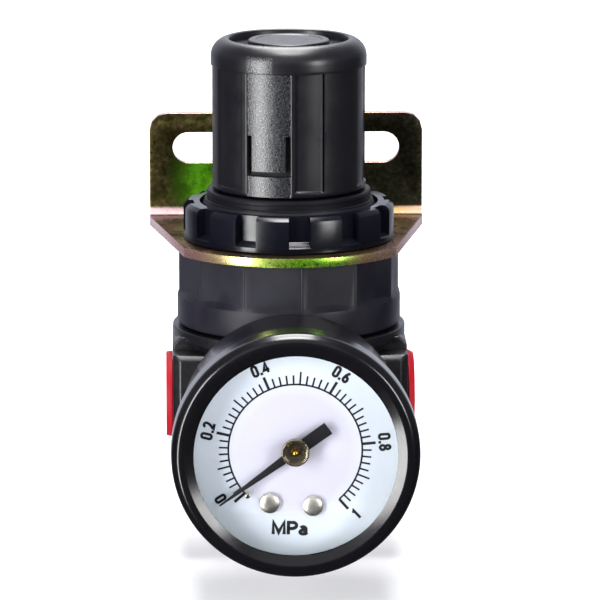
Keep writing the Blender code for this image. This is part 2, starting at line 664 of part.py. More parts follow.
def make_body(parent):
    """Port block, collar, threaded neck and valve barrel in one casting, bored for the valve and ports."""
    half_width = BODY_WIDTH / 2
    half_depth = BODY_DEPTH / 2
    core = half_depth - 2 * BLOCK_CHAMFER
    body = turned(
        "body",
        [
            (0.0, NECK_TOP),
            (NECK_RADIUS - BREAK, NECK_TOP),
            (NECK_RADIUS, NECK_TOP - BREAK),
            (NECK_RADIUS, COLLAR_TOP),
            (COLLAR_RADIUS - BREAK, COLLAR_TOP),
            (COLLAR_RADIUS, COLLAR_TOP - BREAK),
            (COLLAR_RADIUS, COLLAR_BASE),
            (COLLAR_RADIUS - UNDERCUT_DEPTH, COLLAR_BASE),
            (COLLAR_RADIUS - UNDERCUT_DEPTH, BLOCK_TOP),
            (core, BLOCK_TOP),
            (core, -BLOCK_BELOW),
            (BARREL_RADIUS, -BLOCK_BELOW),
            (BARREL_RADIUS - BARREL_TAPER, BODY_FOOT + BARREL_TAPER),
            (BARREL_RADIUS - 2 * BARREL_TAPER, BODY_FOOT),
            (0.0, BODY_FOOT),
        ],
    )
    corner = BLOCK_CHAMFER
    outline = [
        (half_width, half_depth - corner),
        (half_width - corner, half_depth),
        (corner - half_width, half_depth),
        (-half_width, half_depth - corner),
        (-half_width, corner - half_depth),
        (corner - half_width, -half_depth),
        (half_width - corner, -half_depth),
        (half_width, corner - half_depth),
    ]
    block = plate("block", outline, -BLOCK_BELOW, BLOCK_TOP)
    side_view = [
        (-half_depth - PAST, -BLOCK_BELOW - PAST),
        (half_depth + PAST, -BLOCK_BELOW - PAST),
        (half_depth + PAST, BLOCK_TOP - BLOCK_EDGE - PAST),
        (half_depth - BLOCK_EDGE - PAST, BLOCK_TOP + PAST),
        (BLOCK_EDGE + PAST - half_depth, BLOCK_TOP + PAST),
        (-half_depth - PAST, BLOCK_TOP - BLOCK_EDGE - PAST),
    ]
    carve(block, [plate("side_view", side_view, -half_width - PAST, half_width + PAST, matrix=ACROSS)], "INTERSECT")
    shoulder_top = BLOCK_TOP + SHOULDER_RISE
    front_view = [
        (-half_width, BLOCK_TOP - PAST),
        (half_width, BLOCK_TOP - PAST),
        (half_width, shoulder_top - SHOULDER_SLOPE),
        (half_width - SHOULDER_SLOPE, shoulder_top),
        (SHOULDER_SLOPE - half_width, shoulder_top),
        (-half_width, shoulder_top - SHOULDER_SLOPE),
    ]
    shoulders = plate("shoulders", front_view, -SHOULDER_LENGTH / 2, SHOULDER_LENGTH / 2, matrix=FORWARD)
    carve(body, [block, shoulders], "UNION")
    return place(carve(body, body_bores()), parent, "black paint")


def body_bores():
    """The valve bore on the vertical axis, the ports, and the passages between them."""
    half_width = BODY_WIDTH / 2
    port_end = half_width - PORT_DEPTH
    port_gauge_end = BODY_DEPTH / 2 - GAUGE_PORT_DEPTH
    inlet_z = SEAT_Z - PASSAGE_RADIUS - ROUND_GAP
    outlet_z = UPPER_FLOOR + PASSAGE_RADIUS + ROUND_GAP
    sense_z = UPPER_FLOOR + 2 * SENSE_RADIUS
    aspirator_x = (STEM_RADIUS + ROUND_GAP + UPPER_CHAMBER_RADIUS) / 2
    valve_bore = turned(
        "valve_bore",
        [
            (0.0, NECK_TOP + PAST),
            (CHAMBER_RADIUS, NECK_TOP + PAST),
            (CHAMBER_RADIUS, CHAMBER_FLOOR),
            (STEM_RADIUS + ROUND_GAP, CHAMBER_FLOOR),
            (STEM_RADIUS + ROUND_GAP, UPPER_CEILING),
            (UPPER_CHAMBER_RADIUS, UPPER_CEILING),
            (UPPER_CHAMBER_RADIUS, UPPER_FLOOR),
            (ORIFICE_RADIUS, UPPER_FLOOR),
            (ORIFICE_RADIUS, SEAT_Z),
            (LOWER_CHAMBER_RADIUS, SEAT_Z),
            (LOWER_CHAMBER_RADIUS, BODY_FOOT + O_RING),
            (LOWER_CHAMBER_RADIUS + O_RING + SLIDE_GAP, BODY_FOOT + O_RING),
            (LOWER_CHAMBER_RADIUS + O_RING + SLIDE_GAP, BODY_FOOT - PAST),
            (0.0, BODY_FOOT - PAST),
        ],
        SMALL_FACETS,
    )
    bores = [valve_bore]
    for side, height in ((-1, inlet_z), (1, outlet_z)):
        passage = Matrix.Translation((0.0, 0.0, height)) @ along_x(side)
        inner = UPPER_CHAMBER_RADIUS - PAST
        bores.append(cylinder("port", PORT_RADIUS, port_end, half_width + PAST, matrix=along_x(side)))
        bores.append(cylinder("passage", PASSAGE_RADIUS, inner, port_end + PAST, FINE_FACETS, passage))
    for facing in (FORWARD, BACKWARD):
        bores.append(
            cylinder("gauge_port", GAUGE_PORT_RADIUS, port_gauge_end, BODY_DEPTH / 2 + PAST, matrix=facing)
        )
    sense = Matrix.Translation((0.0, 0.0, sense_z)) @ FORWARD
    sense_start = UPPER_CHAMBER_RADIUS - PAST
    bores.append(cylinder("sense", SENSE_RADIUS, sense_start, port_gauge_end + PAST, FINE_FACETS, sense))
    aspirator = Matrix.Translation((aspirator_x, 0.0, 0.0))
    bores.append(
        cylinder("aspirator", SENSE_RADIUS, UPPER_CEILING - PAST, CHAMBER_FLOOR + PAST, FINE_FACETS, aspirator)
    )
    return bores


def make_bonnet(parent):
    """Spring housing: skirt over the body's neck, wrench flats, thread, collar and hexagonal nut guide."""
    core = FLATS_RADIUS * math.cos(math.pi / FLATS_COUNT) - BREAK
    bonnet = turned(
        "bonnet",
        [
            (0.0, GUIDE_TOP),
            (GUIDE_RADIUS - BREAK, GUIDE_TOP),
            (GUIDE_RADIUS, GUIDE_TOP - BREAK),
            (GUIDE_RADIUS, COLLAR_RIM),
            (BONNET_COLLAR_RADIUS - BREAK, COLLAR_RIM),
            (BONNET_COLLAR_RADIUS, COLLAR_RIM - BREAK),
            (BONNET_COLLAR_RADIUS, RING_NUT_TOP),
            (THREAD_RADIUS, RING_NUT_TOP - THREAD_STEP),
            (THREAD_RADIUS, FLATS_TOP),
            (core, FLATS_TOP),
            (core, FLATS_BASE + BREAK),
            (SKIRT_RADIUS, FLATS_BASE - BREAK),
            (SKIRT_RADIUS, BONNET_FOOT + 1.5 * BREAK),
            (SKIRT_RADIUS - BREAK, BONNET_FOOT),
            (0.0, BONNET_FOOT),
        ],
    )
    flats = prism("flats", FLATS_COUNT, FLATS_RADIUS, FLATS_BASE - 2 * BREAK, FLATS_TOP, FLATS_TURN)
    teeth = boxes(
        "lock_teeth",
        (
            (GUIDE_RADIUS - BREAK, -LOCK_WIDTH / 2, LOCK_BASE),
            (GUIDE_RADIUS + LOCK_STAND, LOCK_WIDTH / 2, LOCK_TOP),
        ),
        lock_angles(),
    )
    carve(bonnet, [flats, teeth], "UNION")
    chamber = turned(
        "chamber",
        [
            (0.0, CHAMBER_CEILING),
            (CHAMBER_RADIUS, CHAMBER_CEILING),
            (CHAMBER_RADIUS, BONNET_SHOULDER),
            (SKIRT_BORE, BONNET_SHOULDER),
            (SKIRT_BORE, BONNET_FOOT - PAST),
            (0.0, BONNET_FOOT - PAST),
        ],
    )
    guide = prism("guide", 6, GUIDE_BORE_CORNER, CHAMBER_CEILING - PAST, WEB_BASE)
    hole = cylinder("screw_hole", SCREW_RADIUS + ROUND_GAP, WEB_BASE - PAST, GUIDE_TOP + PAST)
    return place(carve(bonnet, [chamber, guide, hole]), parent, "black resin")


def lock_angles():
    """Where the lock teeth stand round the guide, clear of the knob's two tongues."""
    pitch = math.tau / LOCK_TEETH
    beside_tongue = TONGUE_ANGLE  # the tongue's own angle counts from -Y, a quarter turn back
    return [beside_tongue + half * math.pi + step * pitch for half in (0, 1) for step in (-1, 0, 1)]


def make_bracket(parent):
    """One strip of sheet bent to an angle, trimmed to its plan and front outlines, with two slots."""
    inner = BRACKET_BACK - SHEET
    top = SHELF_TOP + UPRIGHT_HEIGHT
    outer_bend = BRACKET_BEND + SHEET
    bend_centre = (inner - BRACKET_BEND, SHELF_TOP + BRACKET_BEND)
    quarter = math.pi / 2
    section = [(BRACKET_BACK, top), (inner, top)]
    section += reversed(arc(bend_centre, BRACKET_BEND, -quarter, 0.0, 4))
    section += [(-BRACKET_FRONT_RADIUS - PAST, SHELF_TOP), (-BRACKET_FRONT_RADIUS - PAST, SHELF_BASE)]
    section += arc(bend_centre, outer_bend, -quarter, 0.0, 5)
    half = BRACKET_WIDTH / 2
    bracket = plate("bracket", section, -half - PAST, half + PAST, matrix=ACROSS)

    arc_low = -quarter - BRACKET_ARC_HALF_ANGLE
    arc_high = -quarter + BRACKET_ARC_HALF_ANGLE
    plan = arc((0.0, 0.0), BRACKET_FRONT_RADIUS, arc_low, arc_high, 18)
    plan += [(half, inner - BRACKET_BEND), (half, BRACKET_BACK + PAST)]
    plan += [(-half, BRACKET_BACK + PAST), (-half, inner - BRACKET_BEND)]
    plan_cut = plate("plan", plan, SHELF_BASE - PAST, top + PAST)

    corner = UPRIGHT_CORNER
    front = [(half, SHELF_BASE - PAST), *arc((half - corner, top - corner), corner, 0.0, quarter, 3)]
    front += [*arc((corner - half, top - corner), corner, quarter, 2 * quarter, 3), (-half, SHELF_BASE - PAST)]
    reach = (SLOT_LENGTH - SLOT_HEIGHT) / 2
    slots = []
    for side in (-1, 1):
        middle = side * (half - SLOT_MARGIN - SLOT_LENGTH / 2)
        slots.append(capsule((middle - reach, SLOT_Z), (middle + reach, SLOT_Z), SLOT_HEIGHT / 2, 6))
    front_cut = plate("front", front, -BRACKET_BACK - PAST, BRACKET_FRONT_RADIUS + PAST, slots, FORWARD)
    carve(bracket, [plan_cut, front_cut], "INTERSECT")
    hole = cylinder("neck_hole", RING_NUT_BORE, SHELF_BASE - PAST, SHELF_TOP + PAST, FACETS)
    return place(carve(bracket, [hole]), parent, "yellow zinc")


def make_ring_nut(parent):
    chamfer = RING_NUT_CHAMFER
    nut = turned(
        "ring_nut",
        [
            (RING_NUT_RADIUS - chamfer, RING_NUT_TOP),
            (RING_NUT_RADIUS, RING_NUT_TOP - chamfer),
            (RING_NUT_RADIUS, RING_NUT_BASE + BREAK),
            (RING_NUT_RADIUS - BREAK, RING_NUT_BASE),
            (RING_NUT_BORE, RING_NUT_BASE),
            (RING_NUT_BORE, RING_NUT_TOP),
        ],
    )
    notches = boxes(
        "notches",
        (
            (RING_NUT_RADIUS - NOTCH_DEPTH, -NOTCH_WIDTH / 2, RING_NUT_BASE + NOTCH_FLOOR),
            (RING_NUT_RADIUS + PAST, NOTCH_WIDTH / 2, RING_NUT_TOP + PAST),
        ),
        [NOTCH_TURN - math.pi / 2 + math.tau * i / NOTCH_COUNT for i in range(NOTCH_COUNT)],
    )
    return place(carve(nut, [notches]), parent, "gloss black resin")


def make_diaphragm(parent):
    """Rubber disc with a clamped bead at its rim and one raised loop round the plates."""
    loop_middle = PLATE_RADIUS + LOOP_WIDTH / 2
    half_loop = LOOP_WIDTH / 2 - DIAPHRAGM_SHEET / 4
    steps = 4
    upper = []
    lower = []
    for i in range(steps + 1):
        share = i / steps
        radius = loop_middle - half_loop + 2 * half_loop * share
        rise = DIAPHRAGM_LOOP * math.sin(math.pi * share)
        upper.append((radius, SHEET_TOP + rise))
        lower.append((radius, SHEET_BASE + rise))
    hole = RIVET_RADIUS + ROUND_GAP
    profile = [(hole, SHEET_TOP), *upper]
    profile += [(CHAMBER_RADIUS + ROUND_GAP, BEAD_TOP), (BEAD_RADIUS, BEAD_TOP)]
    profile += [(BEAD_RADIUS, BEAD_BASE), (CHAMBER_RADIUS + ROUND_GAP, BEAD_BASE)]
    profile += [*reversed(lower), (hole, SHEET_BASE)]
    return place(turned("diaphragm", profile, SMALL_FACETS), parent, "rubber")


def make_diaphragm_plate(parent):
    """The spring's lower seat, with a boss inside the spring."""
    boss = SPRING_RADIUS - SPRING_WIRE / 2 - SLIDE_GAP
    bore = RIVET_RADIUS + ROUND_GAP
    plate_ = turned(
        "diaphragm_plate",
        [
            (bore, SPRING_SEAT + PLATE_BOSS),
            (boss - BREAK, SPRING_SEAT + PLATE_BOSS),
            (boss, SPRING_SEAT + PLATE_BOSS - 2 * BREAK),
            (boss, SPRING_SEAT),
            (PLATE_RADIUS - BREAK, SPRING_SEAT),
            (PLATE_RADIUS - BREAK, PLATE_BASE),
            (bore, PLATE_BASE),
        ],
        PLUG_FACETS,
    )
    return place(plate_, parent, "brass")


def make_relief_hub(parent):
    """Lower plate and rivet in one, with the relief bore that the valve stem closes."""
    hub = turned(
        "relief_hub",
        [
            (RELIEF_RADIUS, SPRING_SEAT + PLATE_BOSS + BREAK),
            (RIVET_RADIUS, SPRING_SEAT + PLATE_BOSS + BREAK),
            (RIVET_RADIUS, HUB_TOP),
            (PLATE_RADIUS - HUB_INSET, HUB_TOP),
            (PLATE_RADIUS - HUB_INSET, HUB_BASE),
            (RELIEF_RADIUS, HUB_BASE),
        ],
        SMALL_FACETS,
    )
    return place(hub, parent, "brass")


def make_valve(parent):
    stem = turned(
        "valve_stem",
        [
            (0.0, STEM_TOP),
            (STEM_RADIUS, STEM_TOP),
            (STEM_RADIUS, POPPET_TOP),
            (POPPET_RADIUS, POPPET_TOP),
            (POPPET_RADIUS, POPPET_BASE),
            (TAIL_RADIUS, POPPET_BASE),
            (TAIL_RADIUS, STEM_FOOT + BREAK),
            (TAIL_RADIUS - BREAK, STEM_FOOT),
            (0.0, STEM_FOOT),
        ],
        SMALL_FACETS,
    )
    place(stem, parent, "brass")
    seal = turned(
        "poppet_seal",
        [
            (SEAL_BORE, SEAL_TOP),
            (POPPET_RADIUS, SEAL_TOP),
            (POPPET_RADIUS, SEAL_BASE),
            (SEAL_BORE, SEAL_BASE),
        ],
        SMALL_FACETS,
    )
    place(seal, parent, "rubber")


def make_bottom_plug(parent):
    """Hexagon plug that closes the valve barrel, guides the stem's tail and carries the return spring."""
    corner = PLUG_FLATS / 2 / math.cos(math.pi / 6)
    head = prism("bottom_plug", 6, corner, PLUG_FOOT, PLUG_SEAT)
    chamfer_reach = PLUG_FLATS / 2 + PLUG_HEAD / math.tan(PLUG_CHAMFER_ANGLE)
    chamfer = cylinder("chamfer", PLUG_FLATS / 2, PLUG_FOOT, PLUG_SEAT, SMALL_FACETS, top_radius=chamfer_reach)
    carve(head, [chamfer], "INTERSECT")
    neck = turned(
        "neck",
        [
            (0.0, PLUG_TOP),
            (PLUG_NECK - BREAK, PLUG_TOP),
            (PLUG_NECK, PLUG_TOP - BREAK),
            (PLUG_NECK, PLUG_SEAT - PLUG_HEAD / 2),
            (0.0, PLUG_SEAT - PLUG_HEAD / 2),
        ],
        SMALL_FACETS,
    )
    carve(head, [neck], "UNION")
    cup = PLUG_NECK - PLUG_CUP_WALL
    bore = turned(
        "bore",
        [
            (0.0, PLUG_TOP + PAST),
            (cup, PLUG_TOP + PAST),
            (cup, RETURN_SEAT),
            (TAIL_RADIUS + ROUND_GAP, RETURN_SEAT),
            (TAIL_RADIUS + ROUND_GAP, TAIL_BORE_FOOT),
            (0.0, TAIL_BORE_FOOT),
        ],
        SMALL_FACETS,
    )
    place(carve(head, [bore]), parent, "black resin")


def make_o_ring(parent):
    """The seal round the plug's neck, in the barrel's counterbore."""
    thickness = O_RING / 2 - FACE_GAP
    middle = PLUG_NECK + FACE_GAP * 2 + O_RING / 2
    ring = turned(
        "bottom_o_ring",
        [
            (middle + x, BODY_FOOT + O_RING / 2 + z)
            for x, z in reversed(circle((0.0, 0.0), thickness, 6))
        ],
        SMALL_FACETS,
    )
    place(ring, parent, "rubber")


def make_return_spring(parent):
    low = RETURN_SEAT + RETURN_WIRE / 2 + FACE_GAP
    high = POPPET_BASE - RETURN_WIRE / 2 - FACE_GAP
    points = coil_points(RETURN_RADIUS, low, high, RETURN_TURNS, SPRING_END_TURNS, 1.2 * RETURN_WIRE, 8)
    place(wire("return_spring", points, RETURN_WIRE / 2, 1), parent, "spring steel")


def make_pressure_spring(parent):
    low = SPRING_SEAT + SPRING_WIRE / 2 + FACE_GAP
    high = NUT_BASE - SPRING_WIRE / 2 - FACE_GAP
    points = coil_points(SPRING_RADIUS, low, high, SPRING_TURNS, SPRING_END_TURNS, 1.12 * SPRING_WIRE, COIL_FACETS)
    place(wire("pressure_spring", points, SPRING_WIRE / 2, 1), parent, "spring steel")


def make_adjusting_train(screw_axis, parent):
    """Screw held under the bonnet's web by its collar, the washer between, and the hexagon nut that it drives."""
    shank = turned(
        "adjusting_screw",
        [
            (0.0, GUIDE_TOP + ROUND_GAP),
            (SCREW_RADIUS, GUIDE_TOP + ROUND_GAP),
            (SCREW_RADIUS, SCREW_COLLAR_TOP),
            (SCREW_COLLAR_RADIUS, SCREW_COLLAR_TOP),
            (SCREW_COLLAR_RADIUS, SCREW_COLLAR_BASE),
            (SCREW_RADIUS, SCREW_COLLAR_BASE),
            (SCREW_RADIUS, SCREW_FOOT + BREAK),
            (SCREW_RADIUS - BREAK, SCREW_FOOT),
            (0.0, SCREW_FOOT),
        ],
        SMALL_FACETS,
    )
    corner = SCREW_HEX / 2 / math.cos(math.pi / 6)
    drive = prism("drive", 6, corner, GUIDE_TOP + ROUND_GAP / 2, KNOB_CEILING - SLIDE_GAP)
    place(carve(shank, [drive], "UNION"), screw_axis, "steel")
    washer = turned(
        "thrust_washer",
        [
            (SCREW_COLLAR_RADIUS, WASHER_TOP),
            (SCREW_COLLAR_RADIUS, WASHER_BASE),
            (SCREW_RADIUS + ROUND_GAP, WASHER_BASE),
            (SCREW_RADIUS + ROUND_GAP, WASHER_TOP),
        ],
        SMALL_FACETS,
    )
    place(washer, parent, "brass")
    nut_corner = (GUIDE_BORE_HALF_FLATS - ROUND_GAP) / math.cos(math.pi / 6)
    hexagon = arc((0.0, 0.0), nut_corner, 0.0, math.tau * 5 / 6, 5)
    nut = plate(
        "spring_nut", hexagon, NUT_BASE, NUT_TOP, [circle((0.0, 0.0), SCREW_RADIUS + ROUND_GAP, SMALL_FACETS)]
    )
    place(nut, parent, "brass")


def knob_wedge(name, start, end, depth, low, high):
    """A slice of ring that cuts the knob's skirt to a depth between two angles from the front."""
    quarter = math.pi / 2
    outer = arc((0.0, 0.0), KNOB_SKIRT_RADIUS + PAST, start - quarter, end - quarter, WEDGE_STEPS)
    inner = arc((0.0, 0.0), KNOB_SKIRT_RADIUS - depth, end - quarter, start - quarter, WEDGE_STEPS)
    return plate(name, outer + inner, low, high)


def make_knob(parent):
    """Moulded cap with a dished top, recessed grip panels and two snap tongues, on the screw's hexagon."""
    bore = GUIDE_RADIUS + KNOB_GUIDE_GAP
    hub_foot = GUIDE_TOP + 2 * ROUND_GAP
    cap = KNOB_SKIRT_RADIUS + KNOB_CAP_STAND
    shoulder = arc((cap - KNOB_SHOULDER, KNOB_TOP - KNOB_SHOULDER), KNOB_SHOULDER, math.pi / 2, 0.0, 4)
    profile = [(BADGE_HOLE, DISH_FLOOR), (KNOB_DISH_RADIUS - BREAK, DISH_FLOOR)]
    profile += [(KNOB_DISH_RADIUS - BREAK, KNOB_TOP - BREAK), (KNOB_DISH_RADIUS - BREAK / 2, KNOB_TOP)]
    profile += [point for point in shoulder if point[0] >= KNOB_DISH_RADIUS]
    profile += [(cap, KNOB_LIP), (KNOB_SKIRT_RADIUS, KNOB_LIP)]
    profile += [(KNOB_SKIRT_RADIUS, KNOB_FOOT + KNOB_FOOT_TAPER)]
    profile += [(KNOB_SKIRT_RADIUS - KNOB_FOOT_TAPER, KNOB_FOOT), (bore, KNOB_FOOT)]
    profile += [(bore, KNOB_CEILING), (KNOB_HUB_RADIUS, KNOB_CEILING)]
    profile += [(KNOB_HUB_RADIUS, hub_foot), (BADGE_HOLE, hub_foot)]
    knob = turned("knob", profile)
    teeth = boxes(
        "teeth",
        (
            (GUIDE_RADIUS + ROUND_GAP, -LOCK_WIDTH / 2, LOCK_TOP + ROUND_GAP),
            (bore + KNOB_WALL / 2, LOCK_WIDTH / 2, LOCK_TOP + ROUND_GAP + LOCK_HEIGHT),
        ),
        lock_angles(),
    )
    carve(knob, [teeth], "UNION")
    cutters = [hexagon_socket(hub_foot)]
    for half_turn in (0.0, math.pi):
        cutters += knob_panels(TONGUE_ANGLE + half_turn)
    return place(carve(knob, cutters), parent, "black resin")


def hexagon_socket(hub_foot):
    corner = (SCREW_HEX / 2 + ROUND_GAP) / math.cos(math.pi / 6)
    return prism("socket", 6, corner, hub_foot - PAST, KNOB_CEILING)


def knob_panels(middle):
    """The cutters of one half of the knob: grip panels either side of a tongue and the tongue's slit."""
    low = KNOB_FOOT + KNOB_FOOT_BAND
    left = middle - TONGUE_HALF_ANGLE
    right = middle + TONGUE_HALF_ANGLE
    side = middle + SIDE_PANEL_START
    half = KNOB_SKIRT_RADIUS * math.sin(TONGUE_HALF_ANGLE)
    reach = KNOB_SKIRT_RADIUS * math.cos(TONGUE_HALF_ANGLE)
    foot = KNOB_FOOT + TONGUE_FOOT
    turn = Matrix.Rotation(middle - math.pi / 2, 4, "Z")
    bore = GUIDE_RADIUS + KNOB_GUIDE_GAP
    inside = bore * math.cos(TONGUE_HALF_ANGLE) - PAST
    slits = []
    for across in (-half + FROSTED_DEPTH, half - FROSTED_DEPTH - SLIT):
        slits.append(((inside, across, foot), (reach + 2 * PAST, across + SLIT, foot + TONGUE_HEIGHT)))
    slits.append(((inside, -half + FROSTED_DEPTH, foot), (reach + 2 * PAST, half - FROSTED_DEPTH, foot + SLIT)))
    cutters = [
        knob_wedge("frosted", left, right, FROSTED_DEPTH, KNOB_FOOT - PAST, KNOB_LIP),
        knob_wedge("left", left - RIB_LEFT - LEFT_PANEL, left - RIB_LEFT, PANEL_DEPTH, low, KNOB_LIP),
        knob_wedge("right", right + RIB_RIGHT, right + RIB_RIGHT + RIGHT_PANEL, PANEL_DEPTH, low, KNOB_LIP),
        knob_wedge("side", side, side + SIDE_PANEL, PANEL_DEPTH, low, KNOB_LIP),
    ]
    for corners in slits:
        slit = boxes("slit", corners)
        slit.data.transform(turn)
        cutters.append(slit)
    return cutters


def make_badge(parent):
    """The plain disc pressed into the knob's dished top."""
    badge = turned(
        "knob_badge",
        [
            (0.0, DISH_FLOOR + BADGE_RISE),
            (BADGE_RADIUS - BREAK, DISH_FLOOR + BADGE_RISE),
            (BADGE_RADIUS, DISH_FLOOR + BADGE_RISE - BREAK),
            (BADGE_RADIUS, DISH_FLOOR + FACE_GAP),
            (BADGE_STUB_RADIUS, DISH_FLOOR + FACE_GAP),
            (BADGE_STUB_RADIUS, KNOB_CEILING + ROUND_GAP),
            (0.0, KNOB_CEILING + ROUND_GAP),
        ],
        PLUG_FACETS,
    )
    place(badge, parent, "black resin")


def make_dust_plug(name, side, standoff, parent):
    """Push-in plug with a flat flange and a tapered tube, open at its inner end."""
    mouth = BODY_WIDTH / 2
    seat = mouth + standoff
    tube = PORT_RADIUS - ROUND_GAP
    inner = seat - DUST_REACH
    plug = turned(
        name,
        [
            (0.0, seat + DUST_FLANGE_THICKNESS),
            (DUST_FLANGE - BREAK / 2, seat + DUST_FLANGE_THICKNESS),
            (DUST_FLANGE, seat + DUST_FLANGE_THICKNESS - BREAK / 2),
            (DUST_FLANGE, seat),
            (tube, seat),
            (tube - DUST_TAPER, inner),
            (tube - DUST_TAPER - DUST_WALL, inner),
            (tube - DUST_WALL, seat - DUST_WALL),
            (0.0, seat - DUST_WALL),
        ],
        PLUG_FACETS,
    )
    plug.data.transform(along_x(side))
    place(plug, parent, "red plastic")


def make_rear_plug(parent):
    """Hexagon-socket plug in the spare gauge port at the back."""
    back = BODY_DEPTH / 2 - FACE_GAP
    plug = cylinder("rear_plug", GAUGE_PORT_RADIUS - ROUND_GAP, back - REAR_PLUG_LENGTH, back)
    socket = prism("socket", 6, REAR_PLUG_HEX / 2 / math.cos(math.pi / 6), back - REAR_PLUG_SOCKET, back + PAST)
    carve(plug, [socket])
    plug.data.transform(BACKWARD)
    place(plug, parent, "nickel")


def make_gauge_socket(parent):
    """Threaded stem, wrench square, flange inside the case, and the lug that holds the tube and movement."""
    socket = turned(
        "gauge_socket",
        [
            (0.0, FLANGE_FRONT),
            (SOCKET_FLANGE_RADIUS, FLANGE_FRONT),
            (SOCKET_FLANGE_RADIUS, FLANGE_BACK),
            (SOCKET_NECK_RADIUS, FLANGE_BACK),
            (SOCKET_NECK_RADIUS, WRENCH_BACK),
            (GAUGE_PORT_RADIUS - ROUND_GAP, WRENCH_BACK),
            (GAUGE_PORT_RADIUS - ROUND_GAP, THREAD_END + BREAK),
            (GAUGE_PORT_RADIUS - ROUND_GAP - BREAK, THREAD_END),
            (0.0, THREAD_END),
        ],
        SMALL_FACETS,
    )
    half = WRENCH_FLATS / 2
    half_lug = LUG_WIDTH / 2
    square = boxes("square", ((-half, -half, WRENCH_BACK), (half, half, WRENCH_FRONT)))
    lug = boxes("lug", ((-half_lug, -LUG_LENGTH, FLANGE_FRONT - PAST), (half_lug, half_lug, LUG_FRONT)))
    carve(socket, [square, lug], "UNION")
    cutters = [cylinder("bore", SENSE_RADIUS, THREAD_END - PAST, FLANGE_FRONT, FINE_FACETS)]
    for side in (-1, 1):
        at = Matrix.Translation((side * CASE_SCREW_SPREAD, 0.0, 0.0))
        radius = CASE_SCREW_RADIUS + PIVOT_GAP
        end = CASE_REAR + CASE_SCREW_LENGTH + PIVOT_GAP
        cutters.append(cylinder("screw", radius, FLANGE_BACK - PAST, end, FINE_FACETS, at))
    cutters.append(tube_slot())
    place(carve(socket, cutters), parent, "brass")


def tube_slot():
    """Room in the lug for the root of the tube."""
    half = TUBE_HEIGHT / 2 + PIVOT_GAP
    wide = TUBE_HEIGHT / 2 * TUBE_FLATNESS + PIVOT_GAP
    root = TUBE_RADIUS
    side = LUG_WIDTH / 2 + PAST
    start = TUBE_RADIUS * math.cos(TUBE_START) - ROUND_GAP
    sag = TUBE_RADIUS * (1 + math.sin(TUBE_START + LUG_WIDTH / TUBE_RADIUS / 2))
    low = (start, -root - wide, TUBE_MIDDLE - half)
    high = (side, -root + wide + sag, TUBE_MIDDLE + half)
    return boxes("tube_slot", (low, high))


def make_case(parent):
    """Drawn cup with a hole for the socket's neck and two for its screws."""
    hole = SOCKET_NECK_RADIUS + ROUND_GAP
    corner = arc((CASE_RADIUS - CASE_ROUND, CASE_REAR + CASE_ROUND), CASE_ROUND, 0.0, -math.pi / 2, 2)
    case = turned(
        "gauge_case",
        [
            (CASE_RADIUS, CASE_FRONT),
            *corner,
            (hole, CASE_REAR),
            (hole, CASE_FLOOR),
            (CASE_BORE - CASE_ROUND + CASE_WALL, CASE_FLOOR),
            (CASE_BORE, CASE_FLOOR + CASE_ROUND - CASE_WALL),
            (CASE_BORE, CASE_FRONT),
        ],
    )
    holes = []
    for side in (-1, 1):
        at = Matrix.Translation((side * CASE_SCREW_SPREAD, 0.0, 0.0))
        radius = CASE_SCREW_RADIUS + PIVOT_GAP
        holes.append(cylinder("screw", radius, CASE_REAR - PAST, CASE_FLOOR + PAST, FINE_FACETS, at))
    place(carve(case, holes), parent, "gloss black resin")
    for name, side in (("case_screw_left", -1), ("case_screw_right", 1)):
        head_front = CASE_REAR - FACE_GAP
        screw = turned(
            name,
            [
                (0.0, CASE_REAR + CASE_SCREW_LENGTH),
                (CASE_SCREW_RADIUS, CASE_REAR + CASE_SCREW_LENGTH),
                (CASE_SCREW_RADIUS, head_front),
                (CASE_SCREW_HEAD, head_front),
                (CASE_SCREW_HEAD, head_front - CASE_SCREW_RADIUS / 2),
                (CASE_SCREW_HEAD / 2, head_front - CASE_SCREW_RADIUS),
                (0.0, head_front - CASE_SCREW_RADIUS),
            ],
            FINE_FACETS,
        )
        screw.data.transform(Matrix.Translation((side * CASE_SCREW_SPREAD, 0.0, 0.0)))
        place(screw, parent, "nickel")


def make_bezel(parent):
    """Ring pressed over the case, whose lip holds the lens."""
    back = BEZEL_FRONT - BEZEL_LENGTH
    lip_back = BEZEL_FRONT - BEZEL_LIP
    bead = BEZEL_STAND * 0.62
    bezel = turned(
        "gauge_bezel",
        [
            (BEZEL_OPENING, BEZEL_FRONT - BEZEL_LIP / 4),
            (BEZEL_OPENING + BEZEL_LIP / 2, BEZEL_FRONT),
            (BEZEL_RADIUS - bead, BEZEL_FRONT - BEZEL_LIP / 4),
            (BEZEL_RADIUS - bead * 0.30, BEZEL_FRONT - bead * 0.75),
            (BEZEL_RADIUS, BEZEL_FRONT - bead * 1.4),
            (BEZEL_RADIUS, back + bead * 2.4),
            (BEZEL_RADIUS - bead * 0.5, back + bead * 0.8),
            (BEZEL_BORE + 1.5 * ROUND_GAP, back),
            (BEZEL_BORE, back),
            (BEZEL_BORE, lip_back),
            (BEZEL_OPENING, lip_back),
        ],
        BEZEL_FACETS,
    )
    place(bezel, parent, "gloss black resin")


def make_lens(parent):
    edge = CASE_RADIUS
    lens = turned(
        "gauge_lens",
        [(0.0, LENS_FRONT), (edge, LENS_FRONT), (edge, LENS_BACK), (0.0, LENS_BACK)],
    )
    place(lens, parent, "clear plastic")
    gasket = turned(
        "lens_gasket",
        [
            (edge, GASKET_BACK + GASKET_THICKNESS),
            (edge, GASKET_BACK),
            (edge - GASKET_WIDTH, GASKET_BACK),
            (edge - GASKET_WIDTH, GASKET_BACK + GASKET_THICKNESS),
        ],
    )
    place(gasket, parent, "rubber")


